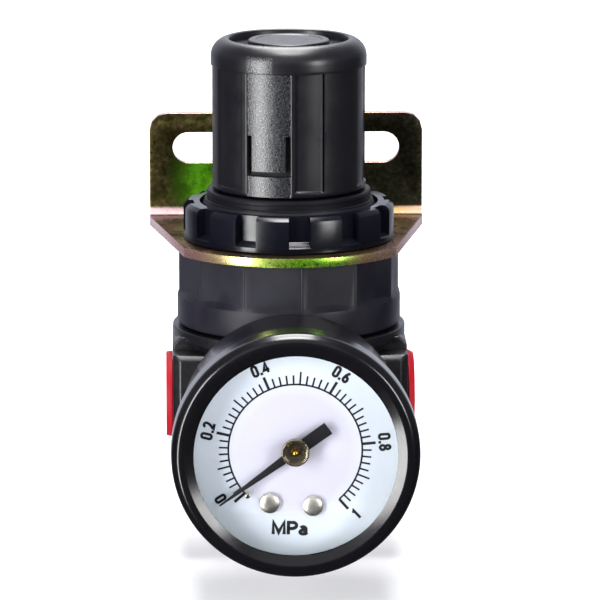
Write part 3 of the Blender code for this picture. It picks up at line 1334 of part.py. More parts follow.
def make_bourdon_tube(parent):
    """Flattened tube bent to a C, its root in the socket's lug."""
    steps = 24
    points = [
        (TUBE_RADIUS * math.cos(a), TUBE_RADIUS * math.sin(a), TUBE_MIDDLE)
        for a in (TUBE_START + TUBE_SPAN * i / steps for i in range(steps + 1))
    ]
    tube = wire("bourdon_tube", points, TUBE_HEIGHT / 2)
    for vertex in tube.data.vertices:
        radius = math.hypot(vertex.co.x, vertex.co.y)
        share = (TUBE_RADIUS + (radius - TUBE_RADIUS) * TUBE_FLATNESS) / radius
        vertex.co.x *= share
        vertex.co.y *= share
    place(tube, parent, "bronze")


def tip_place():
    """Where the tube's end piece sits, and the pin on its inner corner."""
    outward = Vector((math.cos(TUBE_END), math.sin(TUBE_END), 0.0))
    onward = Vector((-outward.y, outward.x, 0.0))
    middle = outward * TUBE_RADIUS + onward * (TIP_SIZE / 2 + ROUND_GAP)
    return middle, onward


def make_tube_tip(parent):
    """The tube's end cap, with a post forward to the link's plane, and the link itself."""
    middle, onward = tip_place()
    half = TIP_SIZE / 2
    tip = boxes(
        "tube_tip",
        ((-half, -half, TUBE_MIDDLE - TUBE_HEIGHT / 2), (half, half, TUBE_MIDDLE + TUBE_HEIGHT / 2)),
    )
    tip.data.transform(Matrix.Translation(middle) @ Matrix.Rotation(TUBE_END, 4, "Z"))
    post = cylinder(
        "post", LINK_PIN_RADIUS * 2, TUBE_MIDDLE, LINK_BACK - PIVOT_GAP, FINE_FACETS, Matrix.Translation(middle)
    )
    pin = cylinder(
        "pin", LINK_PIN_RADIUS, TUBE_MIDDLE, LINK_FRONT + PIVOT_GAP * 2, FINE_FACETS, Matrix.Translation(middle)
    )
    place(carve(tip, [post, pin], "UNION"), parent, "brass", middle)
    near = circle(middle, LINK_PIN_RADIUS + PIVOT_GAP)
    far = circle(TAIL_PIN, LINK_PIN_RADIUS + ROUND_GAP)
    bar = capsule(TAIL_PIN, middle, LINK_PIN_RADIUS * 3)
    place(plate("link", bar, LINK_BACK, LINK_FRONT, [near, far]), parent, "nickel", middle)


def involute(angle):
    return math.tan(angle) - angle


def tooth(pitch_radius, teeth, middle, rising=True):
    """The outline of one involute tooth about the angle middle, from its left root to its right."""
    base = pitch_radius * math.cos(PRESSURE_ANGLE)
    root = pitch_radius - DEDENDUM * TOOTH_MODULE
    tip = pitch_radius + ADDENDUM * TOOTH_MODULE
    half_pitch = math.pi / (2 * teeth) - BACKLASH / (2 * pitch_radius)
    flank = []
    for radius in (root, max(base, root), (base + tip) / 2 if base > root else (root + tip) / 2, tip):
        pressure = math.acos(min(base / radius, 1.0))
        flank.append((radius, half_pitch + involute(PRESSURE_ANGLE) - involute(pressure)))
    left = [(radius, middle - half) for radius, half in flank]
    right = [(radius, middle + half) for radius, half in reversed(flank)]
    return [(r * math.cos(a), r * math.sin(a)) for r, a in left + right]


def make_sector(axis):
    """Toothed sector with a tail arm, on its own arbor between the movement's plates."""
    teeth = PINION_TEETH * SECTOR_RATIO
    pitch = math.tau / teeth
    towards_pinion = PIVOT_DIRECTION + math.pi
    last = towards_pinion + (SECTOR_TEETH_BEFORE - 0.5) * pitch
    rim = []
    for i in range(SECTOR_CUT_TEETH):
        rim += tooth(SECTOR_PITCH_RADIUS, teeth, last - (SECTOR_CUT_TEETH - 1 - i) * pitch)
    root = SECTOR_PITCH_RADIUS - DEDENDUM * TOOTH_MODULE
    first_edge = last - (SECTOR_CUT_TEETH - 0.5) * pitch
    last_edge = last + pitch / 2
    hub = 3 * ARBOR_RADIUS
    arm = hub * 0.62
    tail = (TAIL_ARM * math.cos(TAIL_DIRECTION), TAIL_ARM * math.sin(TAIL_DIRECTION))
    quarter = math.pi / 2
    outline = [(root * math.cos(first_edge), root * math.sin(first_edge)), *rim]
    outline += [(root * math.cos(last_edge), root * math.sin(last_edge))]
    inner = (last_edge + TAIL_DIRECTION - quarter) / 2 + quarter / 2
    outline += [(2.2 * hub * math.cos(inner), 2.2 * hub * math.sin(inner))]
    outline += arc(tail, arm, TAIL_DIRECTION - quarter, TAIL_DIRECTION + quarter, 5)
    outline += arc((0.0, 0.0), hub, TAIL_DIRECTION + quarter, first_edge + 3 * quarter, 6)
    bore = circle((0.0, 0.0), ARBOR_RADIUS + PIVOT_GAP)
    sector = plate("sector_gear", outline, SECTOR_BACK, SECTOR_FRONT, [bore])
    pin = cylinder(
        "pin",
        LINK_PIN_RADIUS,
        SECTOR_BACK + SECTOR_THICKNESS / 2,
        LINK_FRONT + 2 * PIVOT_GAP,
        FINE_FACETS,
        Matrix.Translation((*tail, 0.0)),
    )
    place(carve(sector, [pin], "UNION"), axis, "brass")
    arbor = turned(
        "sector_arbor",
        [
            (0.0, FRONT_PLATE_FRONT - PIVOT_GAP),
            (ARBOR_RADIUS, FRONT_PLATE_FRONT - PIVOT_GAP),
            (ARBOR_RADIUS, SECTOR_BACK - FACE_GAP),
            (2 * ARBOR_RADIUS, SECTOR_BACK - FACE_GAP),
            (2 * ARBOR_RADIUS, SECTOR_BACK - ROUND_GAP * 3),
            (ARBOR_RADIUS, SECTOR_BACK - ROUND_GAP * 3),
            (ARBOR_RADIUS, BACK_PLATE + PIVOT_GAP),
            (0.0, BACK_PLATE + PIVOT_GAP),
        ],
        FINE_FACETS,
    )
    place(arbor, axis, "steel")


def make_pinion(axis):
    """Pinion and spindle in one, from the back plate to the pointer's hub."""
    outline = []
    for i in range(PINION_TEETH):
        outline += tooth(PINION_PITCH_RADIUS, PINION_TEETH, PIVOT_DIRECTION + math.tau * i / PINION_TEETH)
    low = (SECTOR_BACK + SECTOR_FRONT - PINION_WIDTH) / 2
    pinion = plate("pinion_arbor", outline, low, low + PINION_WIDTH)
    spindle = turned(
        "spindle",
        [
            (0.0, HUB_FRONT + SPINDLE_PROUD),
            (ARBOR_RADIUS - PIVOT_GAP, HUB_FRONT + SPINDLE_PROUD),
            (ARBOR_RADIUS, HUB_FRONT + SPINDLE_PROUD / 2),
            (ARBOR_RADIUS, BACK_PLATE_FRONT + HAIR_RISE + HAIR_WIDTH),
            (HAIR_INNER - 2 * ROUND_GAP, BACK_PLATE_FRONT + HAIR_RISE + HAIR_WIDTH),
            (HAIR_INNER - 2 * ROUND_GAP, BACK_PLATE_FRONT + HAIR_RISE),
            (ARBOR_RADIUS, BACK_PLATE_FRONT + HAIR_RISE),
            (ARBOR_RADIUS, BACK_PLATE + PIVOT_GAP),
            (0.0, BACK_PLATE + PIVOT_GAP),
        ],
        FINE_FACETS,
    )
    place(carve(pinion, [spindle], "UNION"), axis, "brass")


def make_hairspring(parent):
    """Flat spiral round the pinion's collet, its outer end at a pillar."""
    steps = round(HAIR_TURNS * COIL_FACETS)
    sides = ([], [])
    for i in range(steps + 1):
        angle = math.tau * HAIR_TURNS * i / steps
        radius = HAIR_INNER + HAIR_PITCH * angle / math.tau
        for side, offset in zip(sides, (HAIR_THICKNESS / 2, -HAIR_THICKNESS / 2)):
            side.append(((radius + offset) * math.cos(angle), (radius + offset) * math.sin(angle)))
    low = BACK_PLATE_FRONT + HAIR_RISE
    spring = plate("hairspring", sides[0] + sides[1][::-1], low, low + HAIR_WIDTH)
    place(spring, parent, "bronze")


def movement_pillars():
    """Where the two pillars stand: beyond the hairspring, and behind the sector's pivot."""
    away = (PIVOT.xy - Vector((0.0, 0.0))).normalized()
    hair_edge = HAIR_INNER + HAIR_PITCH * HAIR_TURNS + PILLAR_RADIUS + ROUND_GAP
    behind = 3 * ARBOR_RADIUS + PILLAR_RADIUS + ROUND_GAP
    return -away * hair_edge, PIVOT.xy + away * behind


def make_movement_plates(parent):
    near, far = movement_pillars()
    outline = capsule(far * 0.97, near * 0.9, MOVEMENT_HALF_WIDTH * 0.62, 6)
    hole = ARBOR_RADIUS + PIVOT_GAP
    holes = [circle((0.0, 0.0), hole), circle(PIVOT.xy, hole)]
    place(plate("movement_back_plate", outline, BACK_PLATE, BACK_PLATE_FRONT, holes), parent, "brass")
    place(plate("movement_front_plate", outline, FRONT_PLATE, FRONT_PLATE_FRONT, holes), parent, "brass")
    for name, at in (("movement_pillar_near", near), ("movement_pillar_far", far)):
        pillar = cylinder(
            name,
            PILLAR_RADIUS,
            BACK_PLATE_FRONT + FACE_GAP,
            FRONT_PLATE - FACE_GAP,
            FINE_FACETS,
            Matrix.Translation((at.x, at.y, 0.0)),
        )
        place(pillar, parent, "brass")


def dial_screw_places():
    turn = Matrix.Rotation(DIAL_TURN, 2)
    return {
        "left": turn @ Vector((-DIAL_SCREW_SPACING / 2, -DIAL_SCREW_DROP)),
        "right": turn @ Vector((DIAL_SCREW_SPACING / 2, -DIAL_SCREW_DROP)),
    }


def make_dial(parent):
    """White disc on two posts of the socket's lug, its two screws and the pointer's stop pin."""
    places = dial_screw_places()
    stop = polar(STOP_PIN_AT, STOP_PIN_DIRECTION)
    holes = [circle((0.0, 0.0), DIAL_HOLE, SMALL_FACETS), circle(stop, STOP_PIN_RADIUS + PIVOT_GAP)]
    holes += [circle(at, DIAL_SCREW_SHANK + PIVOT_GAP) for at in places.values()]
    face = circle((0.0, 0.0), CASE_BORE - ROUND_GAP, FACETS)
    place(plate("dial", face, DIAL_BACK, DIAL_FRONT, holes), parent, "white enamel")
    for name, at in places.items():
        post = plate(
            f"dial_post_{name}",
            circle(at, DIAL_POST_RADIUS),
            LUG_FRONT + FACE_GAP,
            DIAL_BACK - FACE_GAP,
            [circle(at, DIAL_SCREW_SHANK + PIVOT_GAP)],
        )
        place(post, parent, "brass")
        place(dial_screw(f"dial_screw_{name}", at), parent, "nickel")
    pin = cylinder(
        "stop_pin",
        STOP_PIN_RADIUS,
        DIAL_BACK,
        DIAL_FRONT + STOP_PIN_RISE,
        FINE_FACETS,
        Matrix.Translation((*stop, 0.0)),
    )
    place(pin, parent, "nickel")


def dial_screw(name, at):
    """Drive screw with a plain domed head."""
    seat = DIAL_FRONT + FACE_GAP
    edge = DIAL_SCREW_DOME * 0.4
    dome = [
        (DIAL_SCREW_HEAD * math.sin(a), seat + edge + (DIAL_SCREW_DOME - edge) * math.cos(a))
        for a in (math.pi / 2 * i / 3 for i in range(4))
    ]
    shank_end = DIAL_BACK - DIAL_SCREW_GRIP
    profile = [*dome, (DIAL_SCREW_HEAD, seat), (DIAL_SCREW_SHANK, seat)]
    profile += [(DIAL_SCREW_SHANK, shank_end), (0.0, shank_end)]
    screw = turned(name, profile, FINE_FACETS)
    screw.data.transform(Matrix.Translation((at.x, at.y, 0.0)))
    return screw


def polar(radius, from_top):
    """The point at an angle measured clockwise from the top of the dial."""
    return radius * math.sin(from_top), radius * math.cos(from_top)


def make_pointer(axis):
    """Blade with a broad tail, held under the hub's flange on the pinion's spindle."""
    hole = POINTER_HUB_NECK + PIVOT_GAP
    root = 0.95 * POINTER_HUB_RADIUS
    outline = [
        (POINTER_TIP_WIDTH / 2, POINTER_LENGTH),
        (-POINTER_TIP_WIDTH / 2, POINTER_LENGTH),
        (-POINTER_ROOT_WIDTH / 2, root),
        *arc((0.0, 0.0), root, math.radians(125), math.radians(245), 4),
        (-POINTER_TAIL_WIDTH / 2, -POINTER_TAIL),
        (POINTER_TAIL_WIDTH / 2, -POINTER_TAIL),
        *arc((0.0, 0.0), root, math.radians(-65), math.radians(55), 4),
        (POINTER_ROOT_WIDTH / 2, root),
    ]
    blade = plate("pointer", outline, POINTER_BACK, POINTER_FRONT, [circle((0.0, 0.0), hole)])
    blade.data.transform(Matrix.Rotation(-POINTER_REST, 4, "Z"))
    place(blade, axis, "gloss black resin")
    bore = ARBOR_RADIUS + PIVOT_GAP
    seat = POINTER_FRONT + FACE_GAP
    hub = turned(
        "pointer_hub",
        [
            (bore, HUB_FRONT),
            (POINTER_HUB_RADIUS - BREAK, HUB_FRONT),
            (POINTER_HUB_RADIUS, HUB_FRONT - BREAK),
            (POINTER_HUB_RADIUS, seat),
            (POINTER_HUB_NECK, seat),
            (POINTER_HUB_NECK, POINTER_BACK - BREAK),
            (bore, POINTER_BACK - BREAK),
        ],
        SMALL_FACETS,
    )
    place(hub, axis, "nickel")


def make_regulator():
    clear_scene()
    add_collection("mini_pressure_regulator")
    add_collection("cutters").hide_render = True
    axis = add_empty("regulator_axis", None, Matrix.Translation((0.0, -BRACKET_BACK, -SLOT_Z)))
    make_body(axis)
    make_bonnet(axis)
    make_bracket(axis)
    make_ring_nut(axis)
    make_diaphragm(axis)
    make_diaphragm_plate(axis)
    make_relief_hub(axis)
    make_valve(axis)
    make_bottom_plug(axis)
    make_o_ring(axis)
    make_return_spring(axis)
    make_pressure_spring(axis)
    knob_axis = add_empty("knob_axis", axis)
    make_adjusting_train(knob_axis, axis)
    make_knob(knob_axis)
    make_badge(knob_axis)
    make_dust_plug("left_port_plug", -1, DUST_STANDOFF["left"], axis)
    make_dust_plug("right_port_plug", 1, DUST_STANDOFF["right"], axis)
    make_rear_plug(axis)
    make_gauge(axis)


def make_gauge(axis):
    """The gauge is modelled facing +Z, with x across and y up its dial, and turned to face -Y."""
    gauge = add_empty("gauge_axis", axis, FORWARD)
    sector_axis = add_empty("sector_axis", gauge, Matrix.Translation(PIVOT))
    pointer_axis = add_empty("pointer_axis", gauge)
    make_gauge_socket(gauge)
    make_case(gauge)
    make_bezel(gauge)
    make_lens(gauge)
    make_bourdon_tube(gauge)
    make_tube_tip(gauge)
    make_sector(sector_axis)
    make_pinion(pointer_axis)
    make_hairspring(gauge)
    make_movement_plates(gauge)
    make_dial(gauge)
    make_pointer(pointer_axis)


make_regulator()
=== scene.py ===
import math

import bmesh
import bpy
from mathutils import Matrix, Vector


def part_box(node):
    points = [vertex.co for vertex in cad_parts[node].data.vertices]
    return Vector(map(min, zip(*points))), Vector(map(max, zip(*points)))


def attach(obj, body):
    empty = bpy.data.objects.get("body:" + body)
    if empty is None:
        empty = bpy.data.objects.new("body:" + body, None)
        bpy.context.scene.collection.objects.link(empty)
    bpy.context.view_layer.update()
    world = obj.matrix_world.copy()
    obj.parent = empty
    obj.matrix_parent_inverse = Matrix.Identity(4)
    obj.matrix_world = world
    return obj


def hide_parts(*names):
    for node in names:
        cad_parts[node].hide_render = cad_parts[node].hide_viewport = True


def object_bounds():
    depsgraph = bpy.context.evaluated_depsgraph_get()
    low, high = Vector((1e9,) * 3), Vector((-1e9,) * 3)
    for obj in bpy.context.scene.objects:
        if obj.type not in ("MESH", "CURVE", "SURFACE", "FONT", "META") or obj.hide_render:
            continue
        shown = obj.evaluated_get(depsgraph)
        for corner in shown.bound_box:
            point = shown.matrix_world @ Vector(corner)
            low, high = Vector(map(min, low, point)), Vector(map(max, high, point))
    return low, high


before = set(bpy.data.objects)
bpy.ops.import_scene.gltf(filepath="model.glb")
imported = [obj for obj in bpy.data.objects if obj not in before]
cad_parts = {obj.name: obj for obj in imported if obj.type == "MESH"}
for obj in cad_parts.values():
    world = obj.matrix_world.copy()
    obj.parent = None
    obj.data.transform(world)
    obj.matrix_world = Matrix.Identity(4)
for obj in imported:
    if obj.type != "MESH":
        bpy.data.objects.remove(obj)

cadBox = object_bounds()
mm = 0.001
print("frame loaded:", len(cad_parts), "nodes")


def mmBox(node, axis):
    # a node's lowest and highest place along an axis, in millimetres
    low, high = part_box(node)
    return low[axis] / mm, high[axis] / mm


# Places read from the frame
knobLow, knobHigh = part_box("knob")
bezelLow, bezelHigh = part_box("gauge_bezel")
axisY = (knobLow.y + knobHigh.y) / 2  # the knob's and the body's vertical axis
dialZ = (bezelLow.z + bezelHigh.z) / 2  # the height of the gauge's own axis, and of the ports
upright = Matrix.Translation((0.0, axisY, 0.0))
onBody = Matrix.Translation((0.0, axisY, dialZ))
quarterX = Matrix.Rotation(math.pi / 2, 4, "X")  # turns a piece's thickness from +Z to the front
onGauge = onBody @ quarterX
toX = Matrix(((0, 0, 1, 0), (1, 0, 0, 0), (0, 1, 0, 0), (0, 0, 0, 1)))  # turns its thickness to +X


def toLinear(hexColour):
    # sRGB hex to the linear values that the shader takes
    parts = [int(hexColour[i : i + 2], 16) / 255 for i in (1, 3, 5)]
    return tuple(c / 12.92 if c <= 0.04045 else ((c + 0.055) / 1.055) ** 2.4 for c in parts) + (1.0,)


def fill(node, inputs):
    # an input takes an output socket, a node's first output, a hex colour or a plain value
    for name, value in inputs.items():
        source = value.outputs[0] if isinstance(value, bpy.types.Node) else value
        if isinstance(source, bpy.types.NodeSocket):
            node.id_data.links.new(source, node.inputs[name])
        else:
            node.inputs[name].default_value = toLinear(source) if isinstance(source, str) else source


def addNode(tree, kind, inputs=None, stops=(), **settings):
    # stops are the places and hex colours of a ramp, settings are the node's own properties
    node = tree.nodes.new(kind)
    for name, value in settings.items():
        setattr(node, name, value)
    for i, (position, hexColour) in enumerate(stops):
        elements = node.color_ramp.elements
        element = elements[i] if i < len(elements) else elements.new(position)
        element.position = position
        element.color = toLinear(hexColour)
    fill(node, inputs or {})
    return node


def newMaterial(name, hexColour, inputs=None):
    material = bpy.data.materials.new(name)
    material.use_nodes = True
    material.diffuse_color = toLinear(hexColour)
    shader = material.node_tree.nodes["Principled BSDF"]
    fill(shader, {"Base Color": hexColour, **(inputs or {})})
    return material, material.node_tree, shader


def grainOf(tree, sizeMm, detail, roughness=0.6):
    # noise whose lumps are about sizeMm across, on the object's own coordinates
    place = addNode(tree, "ShaderNodeTexCoord").outputs["Object"]
    inputs = {"Vector": place, "Scale": 1 / (sizeMm * mm), "Detail": detail, "Roughness": roughness}
    return addNode(tree, "ShaderNodeTexNoise", inputs)


def roughen(tree, shader, noise, low, high):
    # the middle of the noise spreads the roughness from low to high
    inputs = {"Value": noise, "From Min": 0.3, "From Max": 0.7, "To Min": low, "To Max": high}
    fill(shader, {"Roughness": addNode(tree, "ShaderNodeMapRange", inputs)})


def bumpBy(tree, shader, noise, depthMm, strength):
    inputs = {"Height": noise, "Distance": depthMm * mm, "Strength": strength}
    fill(shader, {"Normal": addNode(tree, "ShaderNodeBump", inputs)})


def surface(name, hexColour, polish, grain, relief=None, fine=None, stops=(), mottle=None, inputs=None):
    # polish is the range of roughness over the grain, relief its bump's depth in mm and strength, stops its
    # colours; fine and mottle are other grains for these two, each (size in mm, detail, roughness)
    material, tree, shader = newMaterial(name, hexColour, inputs)
    noise = grainOf(tree, *grain)
    roughen(tree, shader, noise, *polish)
    if relief:
        bumpBy(tree, shader, grainOf(tree, *fine) if fine else noise, *relief)
    if stops:
        height = grainOf(tree, *mottle) if mottle else noise
        fill(shader, {"Base Color": addNode(tree, "ShaderNodeValToRGB", {"Fac": height}, stops)})
    return material


# The chromate film on the bracket, whose sizes are in millimetres
chromate = {
    "halfWidth": 24.0,  # the strip's and the edge's colours run from side to side
    "olive": [(0.32, "#2b2913"), (0.5, "#4b4622"), (0.68, "#735f42")],
    # darker, brown-black, towards the right side of the bracket
    "dark": [(0.32, "#1d1c14"), (0.536, "#34331f"), (0.68, "#4d3b3c")],
    "darkWander": 8.0,
    "darkFade": (6.0, 16.0),
    "patch": (-14.8, -4.0),  # the green patch's middle, across and up
    "patchWander": 5.0,
    "patchFade": (9.6, 6.0),
    "patchColour": "#3c5a14",
    "leafFade": (7.4, 3.0),
    "leaf": [(0.36, "#456a16"), (0.5, "#66b41c"), (0.64, "#86ea2c")],
    "bendHighlightFade": (1.6, 0.8),  # heights above the shelf's top
    # the bend's band of colour is a painted highlight: pale rose, gold and pink where the light catches the
    # fillet of the bend
    "strip": [(0.0, "#e2bcc4"), (0.55, "#c8b080"), (0.8, "#ffd048"), (1.0, "#ffd0b8")],
    "shelfFade": (0.25, 0.05),
    "shelf": [(0.3, "#3e3220"), (0.5, "#6e5444"), (0.7, "#5a5422")],
    # the sheared edges' pale colours, from front to sides, are a painted highlight where the edges catch the
    # light
    "edge": [
        (0.0, "#d6b6ba"),
        (0.17, "#c09488"),
        (0.28, "#ccbc80"),
        (0.40, "#bfd864"),
        (0.52, "#86c82c"),
        (0.66, "#94cc40"),
        (0.76, "#b0906c"),
        (1.0, "#cfa8ae"),
    ],
    "wornMiddle": 2.5,
    "wornFade": (5.0, 9.0),
    "wornColour": "#34381a",
    "polish": (0.2, 0.36),
}


def acrossBracket(tree):
    # the place on the bracket, its parts, and the share of the width that its X part is
    place = addNode(tree, "ShaderNodeTexCoord").outputs["Object"]
    parts = addNode(tree, "ShaderNodeSeparateXYZ", {"Vector": place}).outputs
    half = chromate["halfWidth"] * mm
    share = addNode(tree, "ShaderNodeMapRange", {"Value": parts["X"], "From Min": -half, "From Max": half})
    return place, parts, share


def yellowZinc():
    # zinc plating under a yellow chromate film: olive and brown, with green and rose where it thins, and a
    # painted highlight of rose and gold along the bend
    material, tree, shader = newMaterial("yellowChromateZinc", "#7d7440")
    place, parts, share = acrossBracket(tree)
    blotch = grainOf(tree, 6.0, 6.0, 0.65)
    speck = grainOf(tree, 0.9, 4.0, 0.7)
    look = {"olive": speck, "dark": speck, "leaf": blotch, "strip": share, "shelf": blotch}
    for key, driver in look.items():
        look[key] = addNode(tree, "ShaderNodeValToRGB", {"Fac": driver}, chromate[key])
    x, z = chromate["patch"]
    fromPatch = {"Vector": place, "Location": (-x * mm, 0.0, -z * mm), "Scale": (1.0, 0.0, 0.75)}
    patch = addNode(tree, "ShaderNodeMapping", fromPatch)
    reach = addNode(tree, "ShaderNodeVectorMath", {0: patch}, operation="LENGTH").outputs["Value"]
    inputs = {0: blotch, 1: chromate["darkWander"] * mm, 2: parts["X"]}
    stray = addNode(tree, "ShaderNodeMath", inputs, operation="MULTIPLY_ADD")
    inputs = {0: blotch, 1: chromate["patchWander"] * mm, 2: reach}
    uneven = addNode(tree, "ShaderNodeMath", inputs, operation="MULTIPLY_ADD")
    shelfTop = mmBox("ring_nut", 2)[0]
    layers = [
        (stray, 0.0, "darkFade", look["dark"]),
        (uneven, 0.0, "patchFade", chromate["patchColour"]),
        (uneven, 0.0, "leafFade", look["leaf"]),
        # a painted highlight along the bend
        (parts["Z"], shelfTop, "bendHighlightFade", look["strip"]),
        (parts["Z"], shelfTop, "shelfFade", look["shelf"]),
    ]
    film = look["olive"]
    shares = {}
    for value, base, key, colour in layers:
        low, high = chromate[key]
        inputs = {"Value": value, "From Min": (base + low) * mm, "From Max": (base + high) * mm}
        shares[key] = addNode(tree, "ShaderNodeMapRange", inputs, interpolation_type="SMOOTHSTEP")
        film = addNode(tree, "ShaderNodeMixRGB", {"Fac": shares[key], "Color1": film, "Color2": colour})
    # the painted highlight on the bend has less metal, so that its colour shows as lit
    inputs = {0: shares["bendHighlightFade"], 1: shares["shelfFade"]}
    onBend = addNode(tree, "ShaderNodeMath", inputs, operation="SUBTRACT")
    metal = addNode(tree, "ShaderNodeMapRange", {"Value": onBend, "To Min": 0.9, "To Max": 0.3})
    fill(shader, {"Base Color": film, "Metallic": metal})
    roughen(tree, shader, blotch, *chromate["polish"])
    bumpBy(tree, shader, speck, 0.012, 0.5)
    return material


def shearedZinc():
    # the same film on the sheared edges, whose pale yellow-green in front and rose at the sides are a
    # painted highlight along the edges, worn in specks
    material, tree, shader = newMaterial("paintedEdgeHighlight", "#c4cf58", {"Metallic": 0.85})
    parts, share = acrossBracket(tree)[1:]
    band = addNode(tree, "ShaderNodeValToRGB", {"Fac": share}, chromate["edge"])
    speck = grainOf(tree, 0.7, 4.0, 0.75)
    inputs = {0: parts["X"], 1: chromate["wornMiddle"] * mm}
    offMiddle = addNode(tree, "ShaderNodeMath", inputs, operation="SUBTRACT")
    offMiddle = addNode(tree, "ShaderNodeMath", {0: offMiddle}, operation="ABSOLUTE")
    low, high = chromate["wornFade"]
    inputs = {"Value": offMiddle, "From Min": low * mm, "From Max": high * mm, "To Min": 1.0, "To Max": 0.25}
    most = addNode(tree, "ShaderNodeMapRange", inputs)
    inputs = {"Value": speck, "From Min": 0.5, "From Max": 0.62, "To Max": most}
    wornSpecksAndCapFrost = addNode(tree, "ShaderNodeMapRange", inputs)
    inputs = {"Fac": wornSpecksAndCapFrost, "Color1": band, "Color2": chromate["wornColour"]}
    fill(shader, {"Base Color": addNode(tree, "ShaderNodeMixRGB", inputs)})
    roughen(tree, shader, speck, *chromate["polish"])
    return material


def clearPolycarbonate():
    # clear moulded window: only its mirror sheen shows, stronger at a slant, so the dial stays crisp
    material, tree, shader = newMaterial("clearPolycarbonate", "#f4f8fb", {"Metallic": 1.0})
    sheen = addNode(tree, "ShaderNodeFresnel", {"IOR": 1.45})
    inside = addNode(tree, "ShaderNodeNewGeometry").outputs["Backfacing"]
    outer = addNode(tree, "ShaderNodeMath", {0: 1.0, 1: inside}, operation="SUBTRACT")
    fill(shader, {"Alpha": addNode(tree, "ShaderNodeMath", {0: sheen, 1: outer}, operation="MULTIPLY")})
    roughen(tree, shader, grainOf(tree, 12.0, 3.0), 0.04, 0.08)
    material.surface_render_method = "BLENDED"
    return material


def dialEnamel():
    # matt white enamel on aluminium; darker at the middle and lighter towards the rim, painted light against
    # the shade of the bezel's lip, and cooler towards the rim, the blue of that shade painted in
    material, tree, shader = newMaterial("whiteDialEnamel", "#e6e6f2", {"Roughness": 0.5})
    place = addNode(tree, "ShaderNodeTexCoord").outputs["Object"]
    inputs = {"Vector": place, "Location": (0.0, 0.0, -dialZ), "Scale": (1.0, 0.0, 1.0)}
    centred = addNode(tree, "ShaderNodeMapping", inputs)
    radius = addNode(tree, "ShaderNodeVectorMath", {0: centred}, operation="LENGTH").outputs["Value"]
    inputs = {"Value": radius, "From Min": 9.0 * mm, "From Max": 17.5 * mm}
    share = addNode(tree, "ShaderNodeMapRange", inputs)
    # painted light and shade: lighter and bluer towards the rim
    stops = [(0.0, "#b3b2c0"), (0.4, "#c0c8d3"), (1.0, "#dfeaf2")]
    fill(shader, {"Base Color": addNode(tree, "ShaderNodeValToRGB", {"Fac": share}, stops)})
    bumpBy(tree, shader, grainOf(tree, 0.5, 2.0), 0.004, 0.3)
    return material


finish = {
    # baked satin enamel on a zinc die casting: a soft sheen with a faint orange peel
    "body": surface(
        "satinEnamelOnZinc", "#0c0b0f", (0.28, 0.42), (0.7, 3.0), (0.02, 0.5),
        stops=[(0.3, "#09080c"), (0.75, "#111015")], mottle=(9.0, 4.0),
    ),
    # glass-filled nylon from a spark-eroded mould: charcoal, nearly dull, its grain drawn as coarse as shows
    "bonnet": surface(
        "glassFilledNylon", "#191724", (0.36, 0.52), (7.0, 5.0, 0.55), (0.02, 0.55), fine=(0.22, 3.0),
        stops=[(0.3, "#12111a"), (0.7, "#1d1c26")], inputs={"Specular IOR Level": 0.3},
    ),
    # the same nylon at the bonnet's neck, painted darker for the shade that falls between the knob and the
    # ring nut
    "neck": surface("neckShadeNylon", "#100f15", (0.4, 0.55), (1.5, 3.0), inputs={"Specular IOR Level": 0.14}),
    # acetal from a polished mould: blue-black and glossy, with slight sink marks
    "nut": surface(
        "polishedAcetal", "#0b0c14", (0.13, 0.24), (6.0, 2.0), (0.08, 0.35),
        inputs={"Specular IOR Level": 0.35},
    ),
    # acetal with an even satin from the mould, where fingers keep it slightly polished
    "knob": surface("satinAcetal", "#0f0e13", (0.27, 0.40), (5.0, 4.0), (0.008, 0.4), fine=(0.3, 2.0)),
    # the grip panels' eroded texture, drawn as coarse as shows: its grains vary in roughness one by one, and
    # their lighter colour is a painted glint
    "frosted": surface(
        "frostedAcetal", "#17181b", (0.24, 0.40), (0.22, 1.0), (0.035, 1.0),
        stops=[(0.38, "#0a0b0e"), (0.55, "#15161a"), (0.68, "#3a3f42")], inputs={"Specular IOR Level": 0.72},
    ),
    # low-density polyethylene: waxy, saturated and a little translucent
    "red": surface(
        "redPolyethylene", "#a00016", (0.44, 0.58), (3.0, 3.0), (0.03, 0.3),
        inputs={
            "Subsurface Weight": 0.05,
            "Subsurface Radius": (0.0012, 0.0003, 0.0002),
            "Specular IOR Level": 0.25,
        },
    ),
    # black stoved enamel on drawn steel: deep and smooth, its reflections soft-edged
    "gloss": surface("stovedBlackEnamel", "#0a090c", (0.17, 0.22), (2.5, 2.0), (0.006, 0.2)),
    "bracket": yellowZinc(),
    "shearedEdgeHighlight": shearedZinc(),
    "clear": clearPolycarbonate(),
    "dial": dialEnamel(),
}

# Printing ink, flat paint, the painted shadow in the knob's slits and rubber: black and dull, with a fine
# uneven skin
dullBlacks = {
    "ink": ("dialInk", "#08080c", (0.55, 0.7), 0.4),
    "pointer": ("pointerPaint", "#0b080e", (0.4, 0.5), 0.5),
    # the knob's slits: a painted shadow, near-black and dull
    "slit": ("paintedSlitShadow", "#050506", (0.7, 0.85), 0.8),
    "rubber": ("nitrileRubber", "#1b1b1c", (0.65, 0.85), 0.3),
}
for key, (name, colour, polish, sizeMm) in dullBlacks.items():
    finish[key] = surface(name, colour, polish, (sizeMm, 3.0), (0.01, 0.4))

